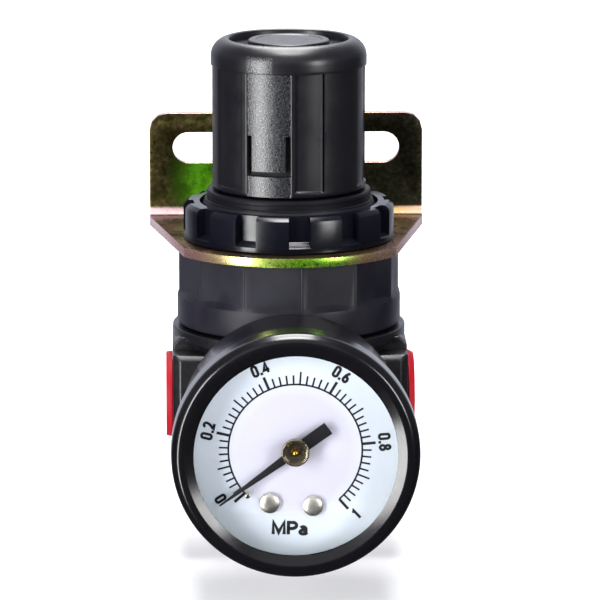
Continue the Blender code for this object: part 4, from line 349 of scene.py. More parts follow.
# Plated, turned and drawn metals: bright, with marks of the plating or the tool
metals = {
    "nickel": ("nickelPlate", "#d6d0bd", (0.12, 0.26), 2.0),
    "hub": ("turnedHub", "#9a927c", (0.2, 0.34), 1.2),
    "screwHead": ("nickelledScrewHead", "#f0ecdf", (0.30, 0.42), 1.0),
    "brass": ("turnedBrass", "#b8923f", (0.2, 0.38), 1.2),
    "bronze": ("phosphorBronze", "#a8703c", (0.25, 0.4), 1.5),
    "steel": ("turnedSteel", "#8f8f8c", (0.25, 0.42), 1.0),
    "springSteel": ("drawnSpringSteel", "#77746e", (0.3, 0.45), 0.8),
}
for key, (name, colour, polish, sizeMm) in metals.items():
    finish[key] = surface(name, colour, polish, (sizeMm, 4.0), (0.01, 0.4), inputs={"Metallic": 1.0})
print("finishes made:", len(finish))


def addObject(name, data):
    made = bpy.data.objects.new(name, data)
    bpy.context.scene.collection.objects.link(made)
    return made


def newPiece(name, bm, matrix=None):
    if matrix:
        bmesh.ops.transform(bm, matrix=matrix, verts=bm.verts)
    mesh = bpy.data.meshes.new(name)
    bm.to_mesh(mesh)
    bm.free()
    return addObject(name, mesh)


def offsetBy(x, y, steps):
    # points at these steps from a corner
    return [(x + dx, y + dy) for dx, dy in steps]


def arcOf(x, y, radius, start, end, steps=8, high=None):
    # points on part of a circle, or of an ellipse with its own height, in the direction from start to end
    first = math.radians(start)
    turn = (math.radians(end) - first) / steps
    angles = [first + turn * i for i in range(steps + 1)]
    return [(x + radius * math.cos(angle), y + (high or radius) * math.sin(angle)) for angle in angles]


def softCorners(points, radius, ring):
    # rounds a profile's corners, each by no more than half of its shorter side
    count, steps, least = len(points), 4, 1e-7
    rounded = []
    for i, point in enumerate(points):
        corner = Vector(point)
        before = Vector(points[i - 1]) - corner
        after = Vector(points[(i + 1) % count]) - corner
        reach = min(radius, before.length * 0.45, after.length * 0.45)
        if (not ring and i in (0, count - 1)) or reach < least:
            rounded.append(point)
            continue
        start = corner + before.normalized() * reach
        end = corner + after.normalized() * reach
        for k in range(steps + 1):
            t = k / steps
            rounded.append((start * (1 - t) ** 2 + corner * 2 * t * (1 - t) + end * t**2)[:])
    return rounded


def lathe(name, profileAt, angles, ring=False, matrix=None):
    # profileAt(angle) gives the (radius, height) points at that angle about +Z, always the same number
    bm = bmesh.new()
    columns = []
    for angle in angles:
        across, along = math.cos(angle), math.sin(angle)
        columns.append([bm.verts.new((r * across, r * along, z)) for r, z in profileAt(angle)])
    rows = len(columns[0])
    for i, column in enumerate(columns):
        following = columns[(i + 1) % len(columns)]
        for k in range(rows if ring else rows - 1):
            below = (k + 1) % rows
            bm.faces.new((column[k], column[below], following[below], following[k]))
    weld(bm)
    bmesh.ops.dissolve_degenerate(bm, edges=bm.edges, dist=1e-7)
    faceOutwards(bm)
    return newPiece(name, bm, matrix)


def turned(name, points, radius=0.15, turns=128, ring=False, matrix=None):
    # a plain turned piece from its (radius, height) points in millimetres
    profile = softCorners([(r * mm, z * mm) for r, z in points], radius * mm, ring)
    return lathe(name, lambda angle: profile, [math.tau * i / turns for i in range(turns)], ring, matrix)


def anglesFrom(degrees, gap=0.0):
    # angles about +Z for these degrees from the front, without one that is closer to the last than the gap
    kept = []
    for value in sorted({round(value % 360, 3) for value in degrees}):
        if not kept or value - kept[-1] > gap:
            kept.append(value)
    return [math.radians(value - 90) for value in kept]


def fromFront(angle):
    # degrees from -Y, positive towards +X, between -180 and 180
    return (math.degrees(angle) + 90 + 180) % 360 - 180


def rework(piece, *changes):
    bm = bmesh.new()
    bm.from_mesh(piece.data)
    for change in changes:
        change(bm)
    bm.to_mesh(piece.data)
    bm.free()
    return piece


def weld(bm):
    bmesh.ops.remove_doubles(bm, verts=bm.verts, dist=1e-6)


def faceOutwards(bm):
    bmesh.ops.recalc_face_normals(bm, faces=bm.faces)


def asMesh(piece):
    # the piece with its modifiers applied, or a curve made a mesh
    graph = bpy.context.evaluated_depsgraph_get()
    mesh = bpy.data.meshes.new_from_object(piece.evaluated_get(graph))
    if piece.type == "MESH":
        piece.modifiers.clear()
        piece.data = mesh
        return piece
    name = piece.name
    bpy.data.objects.remove(piece)
    return addObject(name, mesh)


def cutBy(piece, cutters, operation="DIFFERENCE"):
    for cutter in cutters:
        modifier = piece.modifiers.new(cutter.name, "BOOLEAN")
        modifier.operation = operation
        modifier.object = cutter
        asMesh(piece)
        bpy.data.objects.remove(cutter)
    return piece


def bevelled(piece, widthMm, segments, angle=30.0):
    bevel = piece.modifiers.new("edges", "BEVEL")
    bevel.width = widthMm * mm
    bevel.segments = segments
    bevel.limit_method = "ANGLE"
    bevel.angle_limit = math.radians(angle)
    bevel.use_clamp_overlap = True
    return asMesh(piece)


def sheetPiece(name, outline, low, high, holes=(), soften=0.0, matrix=None):
    # a flat piece from outlines in millimetres, its edges softened by a bevel that stays inside them
    curve = bpy.data.curves.new(name, "CURVE")
    curve.dimensions = "2D"
    curve.fill_mode = "BOTH"
    curve.extrude = ((high - low) / 2 - soften) * mm
    curve.bevel_depth = soften * mm
    curve.bevel_resolution = 2
    curve.offset = -soften * mm
    for loop in (outline, *holes):
        spline = curve.splines.new("POLY")
        spline.points.add(len(loop) - 1)
        for point, (x, y) in zip(spline.points, loop):
            point.co = (x * mm, y * mm, 0.0, 1.0)
        spline.use_cyclic_u = True
    piece = rework(asMesh(addObject(name, curve)), weld, faceOutwards)
    lift = Matrix.Translation((0.0, 0.0, (low + high) / 2 * mm))
    piece.data.transform((matrix or Matrix.Identity(4)) @ lift)
    return piece


def paint(piece, looks, pick):
    # pick(centre in millimetres, normal) says which of the looks a face has
    for look in looks:
        piece.data.materials.append(finish[look])
    for face in piece.data.polygons:
        face.material_index = pick(face.center / mm, face.normal)


def dress(piece, body, slotName, look, *nodes, sharp=35.0):
    # the finish, the shading and what the frame needs to know of a piece
    if not piece.data.materials:
        piece.data.materials.append(finish[look])
    piece.data.shade_smooth()
    piece.data.set_sharp_from_angle(angle=math.radians(sharp))
    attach(piece, body)
    if nodes:
        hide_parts(*nodes)


# Knob
knob = {
    "radius": 13.2,
    "capRadius": 13.33,
    "capHeight": 4.5,
    "capFoot": [(-0.03, 0.0), (0.0, 0.06), (0.0, 0.5)],  # from the cap's radius and the lip
    "shoulder": 3.0,
    "dishRadius": 10.1,
    "dishDepth": 1.5,
    "rim": [(0.35, -0.04), (0.12, -0.18), (0.0, -0.45)],  # from the dish's edge and the top
    "dishCorner": [(-0.15, 0.12), (-0.35, 0.0)],
    "groove": [(8.1, 0.0), (8.0, -0.08), (7.6, -0.08), (7.5, 0.0), (0.0, 0.0)],  # from the dish's middle
    "roof": 2.5,
    "wall": 1.3,
    "footTaper": 0.55,
    "footBand": 1.0,
    "panelFoot": 0.12,
    "panelDepth": 0.42,
    "leftPanelDepth": 0.2,
    "leftPanelFade": 4.0,
    "seamWidth": 1.7,
    "seamDepth": 0.95,
    "frostDepth": 0.15,
    "middle": -16.8,
    "halfTongue": 17.5,
    "leftRib": 4.6,
    "leftPanel": 28.0,
    "rightRib": 3.0,
    "rightPanel": 21.0,
    "sidePanel": (77.75, 113.75),
    "slitWidth": 0.8,
    "slitDepth": 1.1,
    "slitFoot": 3.7,
    "slitHeight": 6.9,
    "edge": 0.9,
    "slitEdge": 0.25,
    # heights of the wall's rows of points, from the foot, each of the slit's corners and the lip
    "footRows": (0.55, 0.75, 0.95, 1.05, 1.25, 1.75, 2.25, 2.75, 3.25),
    "slitRows": (-0.25, -0.04, 0.04, 0.25),
    "lipRows": (-0.4, -0.12, -0.02),
    "besideSlit": (1.6, 6),  # the first row above the slit's foot, and the number of rows
    "aboveSlit": (0.6, 11),
    "rowPitch": 0.9,
    # a frosted patch on the cap over the tongue, as wide as the highlight there: partly painted highlight
    "capFrost": 21.5,
    "capFrostHeight": 2.7,
    # the disc's profile, as shares of its radius and heights from its top
    "badge": [(0.0, -0.12), (0.8, -0.12), (0.83, 0.0), (0.97, 0.0), (1.0, -0.2), (1.0, -1.15), (0.0, -1.15)],
}


def knobPanels():
    # (start, end, depth, frosted) of each recess, in degrees from the front, twice round the knob
    half = knob["halfTongue"]
    left = -half - knob["leftRib"]
    right = half + knob["rightRib"]
    seam = right + knob["rightPanel"]
    panels = [
        (-half, half, knob["frostDepth"], True),
        (left - knob["leftPanel"], left, knob["leftPanelDepth"], False),
        (right, seam, knob["panelDepth"], False),
        (seam, seam + knob["seamWidth"], knob["seamDepth"], False),
        (*knob["sidePanel"], knob["panelDepth"], False),
    ]
    turns = (knob["middle"], knob["middle"] + 180)
    return [(start + turn, end + turn, *rest) for turn in turns for start, end, *rest in panels]


def within(angle, start, end):
    return (angle - start) % 360 <= (end - start) % 360


def makeKnob():
    low, high = mmBox("knob", 2)
    lip = high - knob["capHeight"]
    radius, cap, dish = knob["radius"], knob["capRadius"], knob["dishRadius"]
    panels = knobPanels()
    edge, slitEdge, slitWidth = knob["edge"], knob["slitEdge"], knob["slitWidth"]
    slitStart = low + knob["slitFoot"]
    slitEnd = slitStart + knob["slitHeight"]
    halfWidth = radius * math.sin(math.radians(knob["halfTongue"])) - knob["frostDepth"]

    degrees = [i * 1.5 for i in range(240)]
    for start, end, depth, frosted in panels:
        for corner in (start, end):
            degrees += [corner - edge, corner - edge / 4, corner + edge / 4, corner + edge]
    for across in (halfWidth, halfWidth - slitWidth):
        angle = math.degrees(math.asin(across / radius))
        for turn in (-angle, angle, 180 - angle, 180 + angle):
            degrees += [knob["middle"] + turn - slitEdge, knob["middle"] + turn + slitEdge]

    rows = [low + rise for rise in knob["footRows"]] + [lip + rise for rise in knob["lipRows"]]
    for corner in (slitStart, slitStart + slitWidth, slitEnd):
        rows += [corner + rise for rise in knob["slitRows"]]
    for corner, (rise, count) in ((slitStart, knob["besideSlit"]), (slitEnd, knob["aboveSlit"])):
        rows += [corner + rise + i * knob["rowPitch"] for i in range(count)]
    rows = sorted(row for row in set(rows) if row < lip)

    def recessAt(front, height):
        depth = 0.0
        for start, end, deep, frosted in panels:
            if within(front, start, end):
                startEdge = edge * (knob["leftPanelFade"] if deep == knob["leftPanelDepth"] else 1)
                share = min(1.0, ((front - start) % 360) / startEdge, ((end - front) % 360) / edge)
                foot = 1.0 if frosted else (height - low - knob["footBand"]) / knob["panelFoot"]
                depth = deep * share * min(1.0, max(0.0, foot))
        fromMiddle = math.radians(front - knob["middle"])
        across = radius * abs(math.sin(fromMiddle))
        inLegs = halfWidth - slitWidth < across < halfWidth
        inFoot = across < halfWidth and height < slitStart + slitWidth
        if abs(math.cos(fromMiddle)) > 0.5 and slitStart < height < slitEnd and (inLegs or inFoot):
            depth = knob["slitDepth"]
        return depth

    bore = radius - knob["wall"]
    taper = knob["footTaper"]
    dishFloor = high - knob["dishDepth"]
    ceiling = dishFloor - knob["roof"]
    foot = [(0.0, ceiling), (bore, ceiling), (bore, low), (radius - taper, low)]
    foot += [(radius - taper * 0.3, low + taper * 0.35)]
    crown = [(radius, lip)] + offsetBy(cap, lip, knob["capFoot"])
    crown += arcOf(cap - knob["shoulder"], high - knob["shoulder"], knob["shoulder"], 0, 84, 9)
    crown += offsetBy(dish, high, knob["rim"]) + offsetBy(dish, dishFloor, knob["dishCorner"])
    crown += offsetBy(0.0, dishFloor, knob["groove"])

    def profileAt(angle):
        front = fromFront(angle)
        points = foot + [(radius - recessAt(front, row), row) for row in rows] + crown
        return [(r * mm, z * mm) for r, z in points]

    def lookOf(centre, normal):
        # satin, or frosted on the tongue and on the cap above the tongue's left part, a patch that ends
        # where the highlight does and is partly a painted highlight, or a painted shadow in the slit
        fromAxis = centre.y - axisY / mm
        front = fromFront(math.atan2(fromAxis, centre.x))
        reach = math.hypot(centre.x, fromAxis)
        onTongue = any(frosted and within(front, start, end) for start, end, depth, frosted in panels)
        if onTongue and bore < reach < radius - 2 * knob["frostDepth"]:
            if slitStart - 0.2 < centre.z < slitEnd + 0.2:
                return 2
        if onTongue and abs(reach - radius + knob["frostDepth"]) < 0.05 and centre.z < lip - 0.05:
            return 1
        start = knob["middle"] - knob["halfTongue"]
        wornSpecksAndCapFrost = within(front, start, start + knob["capFrost"])
        wornSpecksAndCapFrost = wornSpecksAndCapFrost or within(front, start + 180, start + 180 + knob["capFrost"])
        return int(wornSpecksAndCapFrost and reach > radius - 1 and lip + 0.1 < centre.z < lip + knob["capFrostHeight"])

    piece = lathe("knobShell", profileAt, anglesFrom(degrees, 0.08), matrix=upright)
    paint(piece, ("knob", "frosted", "slit"), lookOf)
    dress(piece, "knob", "knob_resin", "knob", "knob", sharp=28.0)


def makeBadge():
    # the plain disc in the dish, with a turned step
    high = mmBox("knob_badge", 2)[1]
    low, right = mmBox("knob_badge", 0)
    points = [((right - low) / 2 * share, high + rise) for share, rise in knob["badge"]]
    dress(turned("knobBadge", points, 0.1, matrix=upright), "knob", "knob_resin", "knob", "knob_badge")


makeKnob()
makeBadge()
print("knob made")

# Ring nut
ringNut = {
    "wall": 2.75,
    "chamfer": 0.85,
    "chamferSteps": [(1.0, 0.0), (0.55, 0.28), (0.15, 0.72), (0.0, 1.3)],  # shares of it, in and down
    "notches": 12,
    "notchWidth": 3.7,
    "notchDepth": 1.7,
    "notchFloor": 1.2,
    "ledgeRise": 0.6,
    "footEdge": [(0.0, 0.3), (-0.1, 0.08), (-0.3, 0.0)],
    "turn": 4.6,
}


def makeRingNut():
    low, high = mmBox("ring_nut", 2)
    radius = mmBox("ring_nut", 0)[1]
    bore = radius - ringNut["wall"]
    floor = low + ringNut["notchFloor"]
    pitch = 360 / ringNut["notches"]
    halfAngle = math.degrees(math.asin(ringNut["notchWidth"] / 2 / radius))
    degrees = []
    for i in range(ringNut["notches"]):
        middle = ringNut["turn"] + pitch * i
        for side in (-halfAngle, halfAngle):
            degrees += [middle + side + step for step in (-0.5, -0.12, 0.12, 0.5)]
        degrees += [middle + halfAngle + 1 + k * 2.0 for k in range(9)]
        degrees += [middle + k * 1.5 for k in (-2, -1, 0, 1, 2)]
    reach = radius - ringNut["notchDepth"]
    ledge = floor + ringNut["ledgeRise"]
    notch = [(bore, high), (reach - 0.02, high), (reach, high - 0.1), (reach, ledge + 0.1)]
    notch += [(reach + 0.1, ledge), (radius - 0.12, floor), (radius, floor - 0.12)]
    chamfer = ringNut["chamfer"]
    tooth = [(bore, high)] + [(radius - chamfer * x, high - chamfer * y) for x, y in ringNut["chamferSteps"]]
    tooth += [(radius, floor), (radius, floor - 0.12)]
    foot = offsetBy(radius, low, ringNut["footEdge"]) + [(bore, low)]

    def profileAt(angle):
        offset = (fromFront(angle) - ringNut["turn"] + pitch / 2) % pitch - pitch / 2
        return [(r * mm, z * mm) for r, z in (notch if abs(offset) < halfAngle else tooth) + foot]

    piece = lathe("ringNut", profileAt, anglesFrom(degrees), True, upright)
    dress(piece, "housing", "nut_resin", "nut", "ring_nut", sharp=24.0)


makeRingNut()
print("ring nut made")

# Bonnet
bonnet = {
    "skirtRadius": 19.15,
    "skirtHeight": 5.2,
    "skirtBore": 17.8,
    "skirtFoot": [(-0.45, 0.0), (-0.12, 0.2), (0.0, 0.6)],
    # the skirt's ledge: shares of its width at that angle, in and up, and a plain rise
    "ledgeCurve": [(0.0, -0.2, -0.65), (-0.08, 0.0, -0.45), (-0.75, 0.35, 0.0)],
    "boreDepth": 4.0,
    "flats": 12,
    "cornerRadius": 19.0,
    "flatsHeight": 7.7,
    "flatsTop": [(0.0, -0.25), (-0.07, -0.07), (-0.25, 0.0)],
    "turn": 5.3,
    "cornerSteps": (-1.2, -0.6, -0.25, 0, 0.25, 0.6, 1.2),
    "threadRadius": 15.0,
    "collarRadius": 14.05,
    "collarFoot": [(0.4, 0.2), (0.35, 0.45), (0.0, 0.6)],  # from the collar's radius and the nut's top
    "collarLine": 1.2,
    "lineProfile": [(0.0, 0.0), (-0.12, 0.08), (-0.12, 0.2), (0.0, 0.28)],
    "collarHeight": 2.15,
    "collarTop": [(0.0, -0.35), (-0.1, -0.1), (-0.35, 0.0)],
    "guideRadius": 11.2,
    "guideChamfer": 0.4,
    "hole": 4.3,
    "holeDepth": 3.0,
    "roundness": 0.18,
}


def makeBonnet():
    low, high = mmBox("bonnet", 2)
    nutTop = mmBox("ring_nut", 2)[1]
    ledge = low + bonnet["skirtHeight"]
    top = ledge + bonnet["flatsHeight"]
    rim = nutTop + bonnet["collarHeight"]
    skirt, thread, collar, guide = (bonnet[key + "Radius"] for key in ("skirt", "thread", "collar", "guide"))
    chamfer, hole, bore = bonnet["guideChamfer"], bonnet["hole"], bonnet["skirtBore"]
    roof = low + bonnet["boreDepth"]
    apothem = bonnet["cornerRadius"] * math.cos(math.pi / bonnet["flats"])
    pitch = 360 / bonnet["flats"]
    corners = [bonnet["turn"] + pitch * i for i in range(bonnet["flats"])]
    steps = (*bonnet["cornerSteps"], *(1.2 + k * 2.3 for k in range(1, 12)))
    degrees = [corner + step for corner in corners for step in steps]
    upper = offsetBy(collar, nutTop, bonnet["collarFoot"])
    upper += offsetBy(collar, nutTop + bonnet["collarLine"], bonnet["lineProfile"])
    upper += offsetBy(collar, rim, bonnet["collarTop"])
    upper += [(guide, rim), (guide, high - chamfer), (guide - chamfer, high), (hole, high)]
    upper += [(hole, high - bonnet["holeDepth"]), (0.0, high - bonnet["holeDepth"])]

    def profileAt(angle):
        offset = abs((fromFront(angle) - bonnet["turn"] + pitch / 2) % pitch - pitch / 2)
        flat = apothem / math.cos(math.radians(pitch / 2 - offset))
        rounding = bonnet["roundness"] * (1 - min(1.0, offset / 1.2)) ** 2 * 0.6
        flat = min(flat, bonnet["cornerRadius"] - rounding)
        bulge = max(0.0, skirt - flat)
        points = [(0.0, roof), (bore, roof), (bore, low)] + offsetBy(skirt, low, bonnet["skirtFoot"])
        points += [(skirt + bulge * x, ledge + rise + bulge * z) for x, z, rise in bonnet["ledgeCurve"]]
        points += [(flat, ledge + bulge * 0.7 + 0.1)] + offsetBy(flat, top, bonnet["flatsTop"])
        points += [(thread, top), (thread, nutTop - 0.9)]
        return [(r * mm, z * mm) for r, z in points + upper]

    piece = lathe("bonnetShell", profileAt, anglesFrom(degrees), matrix=upright)
    # the neck above the ring nut takes the darker nylon, a painted shade under the knob
    paint(piece, ("bonnet", "neck"), lambda centre, normal: int(centre.z > nutTop))
    dress(piece, "housing", "bonnet_resin", "bonnet", "bonnet", sharp=20.0)


makeBonnet()
print("bonnet made")

# Body
casting = {
    "width": 40.0,
    "depth": 28.0,
    "above": 9.4,
    "below": 9.5,
    "corner": 1.2,
    "round": 0.28,
    "edge": 0.85,
    "collarRadius": 19.95,
    "collarHeight": 1.9,
    "collarGap": 0.4,
    "undercut": 18.4,
    "shoulderRise": 2.3,
    "shoulderHalf": 9.0,
    "shoulderSlope": 1.3,
    "neckRadius": 17.4,
    "neckHeight": 4.4,
    "coreRadius": 11.0,
    "barrelRadius": 15.0,
    "barrelHeight": 12.0,
    "portRadius": 6.2,
    "portFlare": (1.0, 0.6),  # the flare's slope beyond the face, and its depth
    "portDepth": 11.0,
    "gaugePortRadius": 4.4,
    "gaugePortFlare": (1.0, 0.4),
    "gaugePortDepth": 7.0,
    "plugSeatRadius": 8.0,
    "plugSeatDepth": 1.7,
}


def portCutter(name, face, key, turns, matrix):
    # a flared hole into a face that is this far from the body's middle
    radius, depth = casting[key + "Radius"], face - casting[key + "Depth"]
    beyond, flare = casting[key + "Flare"]
    points = [(0.0, face + beyond), (radius + flare + beyond, face + beyond), (radius + flare, face)]
    points += [(radius, face - flare), (radius, depth), (0.0, depth)]
    return turned(name, points, 0.01, turns, matrix=matrix)


def makeBody():
    half, deep = casting["width"] / 2, casting["depth"] / 2
    corner, above, below, edge = (casting[key] for key in ("corner", "above", "below", "edge"))
    wide, long = half - corner, deep - corner
    outline = [(half, long), (wide, deep), (-wide, deep), (-half, long)]
    outline += [(-half, -long), (-wide, -deep), (wide, -deep), (half, -long)]
    block = sheetPiece("bodyCasting", outline, -below, above, matrix=onBody)
    sideView = [(-deep - 1, -below - 1), (deep + 1, -below - 1), (deep + 1, above - edge - 1)]
    sideView += [(deep - edge - 1, above + 1), (edge + 1 - deep, above + 1), (-deep - 1, above - edge - 1)]
    cutBy(block, [sheetPiece("sideView", sideView, -half - 1, half + 1, matrix=onBody @ toX)], "INTERSECT")
    bevelled(block, casting["round"], 3)

    collarTop = mmBox("bonnet", 2)[0] - dialZ / mm - casting["collarGap"]
    collarFoot = collarTop - casting["collarHeight"]
    collar, neck, core, barrel = (casting[key + "Radius"] for key in ("collar", "neck", "core", "barrel"))
    neckTop, under = collarTop + casting["neckHeight"], casting["undercut"]
    foot = -below - casting["barrelHeight"]
    points = [(0.0, neckTop), (neck, neckTop), (neck, collarTop), (collar, collarTop), (collar, collarFoot)]
    points += [(under, collarFoot - 0.1), (under, above - 1.0), (core, above - 1.0), (core, 1.0 - below)]
    points += [(barrel, 1.0 - below), (barrel, -below), (barrel - 0.8, foot + 0.8), (barrel - 1.6, foot)]
    points += [(0.0, foot)]
    pieces = [turned("collar", points, 0.25, 160, matrix=onBody)]
    slope = casting["shoulderSlope"]
    ridge = above + casting["shoulderRise"]
    frontView = [(-half, above - 1), (half, above - 1), (half, ridge - slope), (half - slope, ridge)]
    frontView += [(slope - half, ridge), (-half, ridge - slope)]
    reach = casting["shoulderHalf"]
    shoulders = sheetPiece("shoulders", frontView, -reach, reach, matrix=onGauge)
    pieces.append(bevelled(shoulders, casting["round"], 3))
    cutBy(block, pieces, "UNION")

    cutters = []
    for side in (-1, 1):
        turn = onBody @ Matrix.Rotation(side * math.pi / 2, 4, "Y")
        cutters.append(portCutter("port", half, "port", 96, turn))
    for side in (1, -1):
        turn = onBody @ Matrix.Rotation(side * math.pi / 2, 4, "X")
        cutters.append(portCutter("gaugePort", deep, "gaugePort", 64, turn))
    seat, seatTop = casting["plugSeatRadius"], foot + casting["plugSeatDepth"]
    points = [(0.0, seatTop), (seat, seatTop), (seat, foot - 1.0), (0.0, foot - 1.0)]
    cutters.append(turned("plugSeat", points, 0.01, 96, matrix=onBody))
    cutBy(block, cutters)
    dress(block, "housing", "body_paint", "body", "body", sharp=32.0)


makeBody()
print("body made")

# Bracket
bracket = {
    "sheet": 1.6,
    "frontRadius": 20.9,
    "arcHalf": 60.0,
    "bend": 1.6,
    "corner": 3.0,
    "slotLength": 9.6,
    "slotHeight": 5.4,
    "slotSpacing": 30.0,
    "neckHole": 15.3,
    "edge": 0.12,
}


def makeBracket():
    half = sum(abs(side) for side in mmBox("bracket", 0)) / 2
    base, top = mmBox("bracket", 2)
    back = mmBox("bracket", 1)[1]
    sheet, bend, corner = bracket["sheet"], bracket["bend"], bracket["corner"]
    shelf = base + sheet
    inner = back - sheet
    middle = axisY / mm
    front = middle - bracket["frontRadius"] - 1
    section = [(back, top), (inner, top)] + arcOf(inner - bend, shelf + bend, bend, -90, 0, 10)[::-1]
    section += [(front, shelf), (front, base)]
    section += arcOf(inner - bend, shelf + bend, bend + sheet, -90, 0, 12)
    piece = sheetPiece("angleBracket", section, -half - 1, half + 1, matrix=toX)
    plan = arcOf(0.0, middle, bracket["frontRadius"], -90 - bracket["arcHalf"], -90 + bracket["arcHalf"], 64)
    plan += [(half, inner - bend), (half, back + 1), (-half, back + 1), (-half, inner - bend)]
    planCut = sheetPiece("plan", plan, base - 1, top + 1)
    face = [(half, base - 1)] + arcOf(half - corner, top - corner, corner, 0, 90, 3)
    face += arcOf(corner - half, top - corner, corner, 90, 180, 3) + [(-half, base - 1)]
    radius = bracket["slotHeight"] / 2
    reach = bracket["slotLength"] / 2 - radius
    slots = []
    for x in (-bracket["slotSpacing"] / 2, bracket["slotSpacing"] / 2):
        slots.append(arcOf(x + reach, 0.0, radius, -90, 90, 16) + arcOf(x - reach, 0.0, radius, 90, 270, 16))
    faceCut = sheetPiece("face", face, -back - 1, -front + 1, slots, matrix=quarterX)
    cutBy(piece, [planCut, faceCut], "INTERSECT")
    hole = bracket["neckHole"]
    points = [(0.0, shelf + 1), (hole, shelf + 1), (hole, base - 1), (0.0, base - 1)]
    cutBy(piece, [turned("neckHole", points, 0.01, matrix=upright)])
    flat = math.radians(1)
    rework(piece, lambda bm: bmesh.ops.dissolve_limit(bm, angle_limit=flat, verts=bm.verts, edges=bm.edges))
    bevelled(piece, bracket["edge"], 2, 40.0)

    def sheared(centre, normal):
        # the shelf's rim, and the sides and top of the upright
        if centre.z < shelf + 0.1:
            return int(abs(normal.z) < 0.8)
        return int(abs(normal.x) > 0.5 or (centre.z > shelf + bend + 0.1 and abs(normal.y) < 0.8))

    # the sheared faces carry the painted edge highlight
    paint(piece, ("bracket", "shearedEdgeHighlight"), sheared)
    dress(piece, "housing", "bracket_zinc", "bracket", "bracket", sharp=30.0)


makeBracket()
print("bracket made")

# Port plugs
dustPlug = {
    "flange": 7.4,
    "thickness": 1.1,
    "dish": 0.25,
    "dishEdge": (0.55, 0.62),  # shares of the flange
    "edge": 0.25,
    "tube": 5.9,
    "taper": 0.5,
    "tip": 3.0,
    "wall": 1.0,
    "reach": 8.0,
    "slants": {"left_port_plug": 0.15, "right_port_plug": 0.5},
}


def makeDustPlug(node, side):
    outer = max(abs(end) for end in mmBox(node, 0))
    flange, dish, tube, wall = (dustPlug[key] for key in ("flange", "dish", "tube", "wall"))
    seat = outer - dustPlug["thickness"]
    inner = seat - dustPlug["reach"]
    tip = tube - dustPlug["taper"]
    inside, outside = dustPlug["dishEdge"]
    points = [(0.0, outer - dish), (flange * inside, outer - dish), (flange * outside, outer)]
    points += [(flange - dustPlug["slants"][node], outer), (flange, seat + dustPlug["edge"]), (flange, seat)]
    points += [(tube, seat), (tube, inner + dustPlug["tip"]), (tip, inner), (tip - wall, inner)]
    points += [(tube - wall, seat - wall), (0.0, seat - wall)]
    turn = onBody @ Matrix.Rotation(side * math.pi / 2, 4, "Y")
    piece = turned(node.replace("_port_plug", "") + "DustPlug", points, 0.18, matrix=turn)
    dress(piece, node, "plug_red", "red", node)


makeDustPlug("left_port_plug", -1)
makeDustPlug("right_port_plug", 1)
print("dust plugs made")

# Gauge case, bezel and window
gauge = {
    "caseRadius": 18.78,
    "caseWall": 0.6,
    "caseRound": 1.2,
    "caseCorner": 0.35,
    "neckBore": 5.3,
    "bezelRadius": 20.53,
    "bezelGap": 0.3,
    "opening": 16.8,
    "lip": 0.8,
    "innerBevel": [(0.0, -0.78), (0.05, -0.75), (1.5, -0.05), (1.75, 0.0)],  # from the opening and the front
    "rim": [(-1.2, -0.08), (-0.8, -0.32), (-0.45, -0.7), (-0.2, -1.05), (-0.04, -1.5), (0.0, -2.2)],
    "backEdge": [(0.0, 2.6), (-0.12, 1.7), (-0.5, 0.8)],
    "backLand": 0.45,
    "windowEdge": 0.3,
}


def depthOf(node):
    # how far forward of the vertical axis a node reaches, back face and front face, in millimetres
    low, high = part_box(node)
    return (axisY - high.y) / mm, (axisY - low.y) / mm


def makeGaugeShell():
    back, front = depthOf("gauge_case")
    radius, wall, curve, neck = (gauge[key] for key in ("caseRadius", "caseWall", "caseRound", "neckBore"))
    corner = gauge["caseCorner"]
    points = [(radius, front), (radius, back + curve), (radius - corner, back + corner)]
    points += [(radius - curve, back), (neck, back), (neck, back + wall), (radius - curve, back + wall)]
    points += [(radius - wall, back + curve), (radius - wall, front)]
    piece = turned("gaugeCase", points, 0.2, 160, True, onGauge)
    dress(piece, "housing", "gauge_black", "gloss", "gauge_case")

    back, front = depthOf("gauge_bezel")
    outer, opening = gauge["bezelRadius"], gauge["opening"]
    bore = radius + gauge["bezelGap"]
    points = offsetBy(opening, front, gauge["innerBevel"]) + offsetBy(outer, front, gauge["rim"])
    points += offsetBy(outer, back, gauge["backEdge"]) + [(bore + gauge["backLand"], back), (bore, back)]
    points += [(bore, front - gauge["lip"]), (opening, front - gauge["lip"])]
    piece = turned("gaugeBezel", points, 0.25, 192, True, onGauge)
    dress(piece, "housing", "gauge_black", "gloss", "gauge_bezel", sharp=50.0)

    back, front = depthOf("gauge_lens")
    edge = gauge["windowEdge"]
    points = [(0.0, front), (radius - edge, front), (radius, front - edge), (radius, back), (0.0, back)]
    piece = turned("gaugeWindow", points, 0.1, 160, matrix=onGauge)
    dress(piece, "housing", "lens_clear", "clear", "gauge_lens")
    piece.visible_shadow = False  # a clear window darkens nothing behind it


makeGaugeShell()
print("gauge shell made")

# Dial
dial = {
    "turn": 4.0,
    "sweep": 270.0,
    "divisions": 50,
    "arcWidth": 0.30,
    "ticks": {
        "arcRadius": 11.05,
        "minorLength": 1.55,
        "midLength": 2.15,
        "majorLength": 2.25,
        "thinWidth": 0.30,
        "thickWidth": 0.46,
        "height": 0.03,
    },
    "numerals": ("0", "0.2", "0.4", "0.6", "0.8", "1"),
    "numeralRadius": 14.8,
    "numeralSize": (1.95, 0.93, 0.45),  # height, share of the full width, stroke
    "endShift": {"0": 7.5, "1": -1.7},
    "unit": "MPa",
    "unitPlace": (-0.85, -13.2, -1.5),  # across, up, turn
    "unitSize": (2.22, 1.12, 0.56),
    "hubHole": 1.6,
    "screwHole": 0.9,
    "screwSpacing": 7.16,
    "screwDrop": 9.2,
}


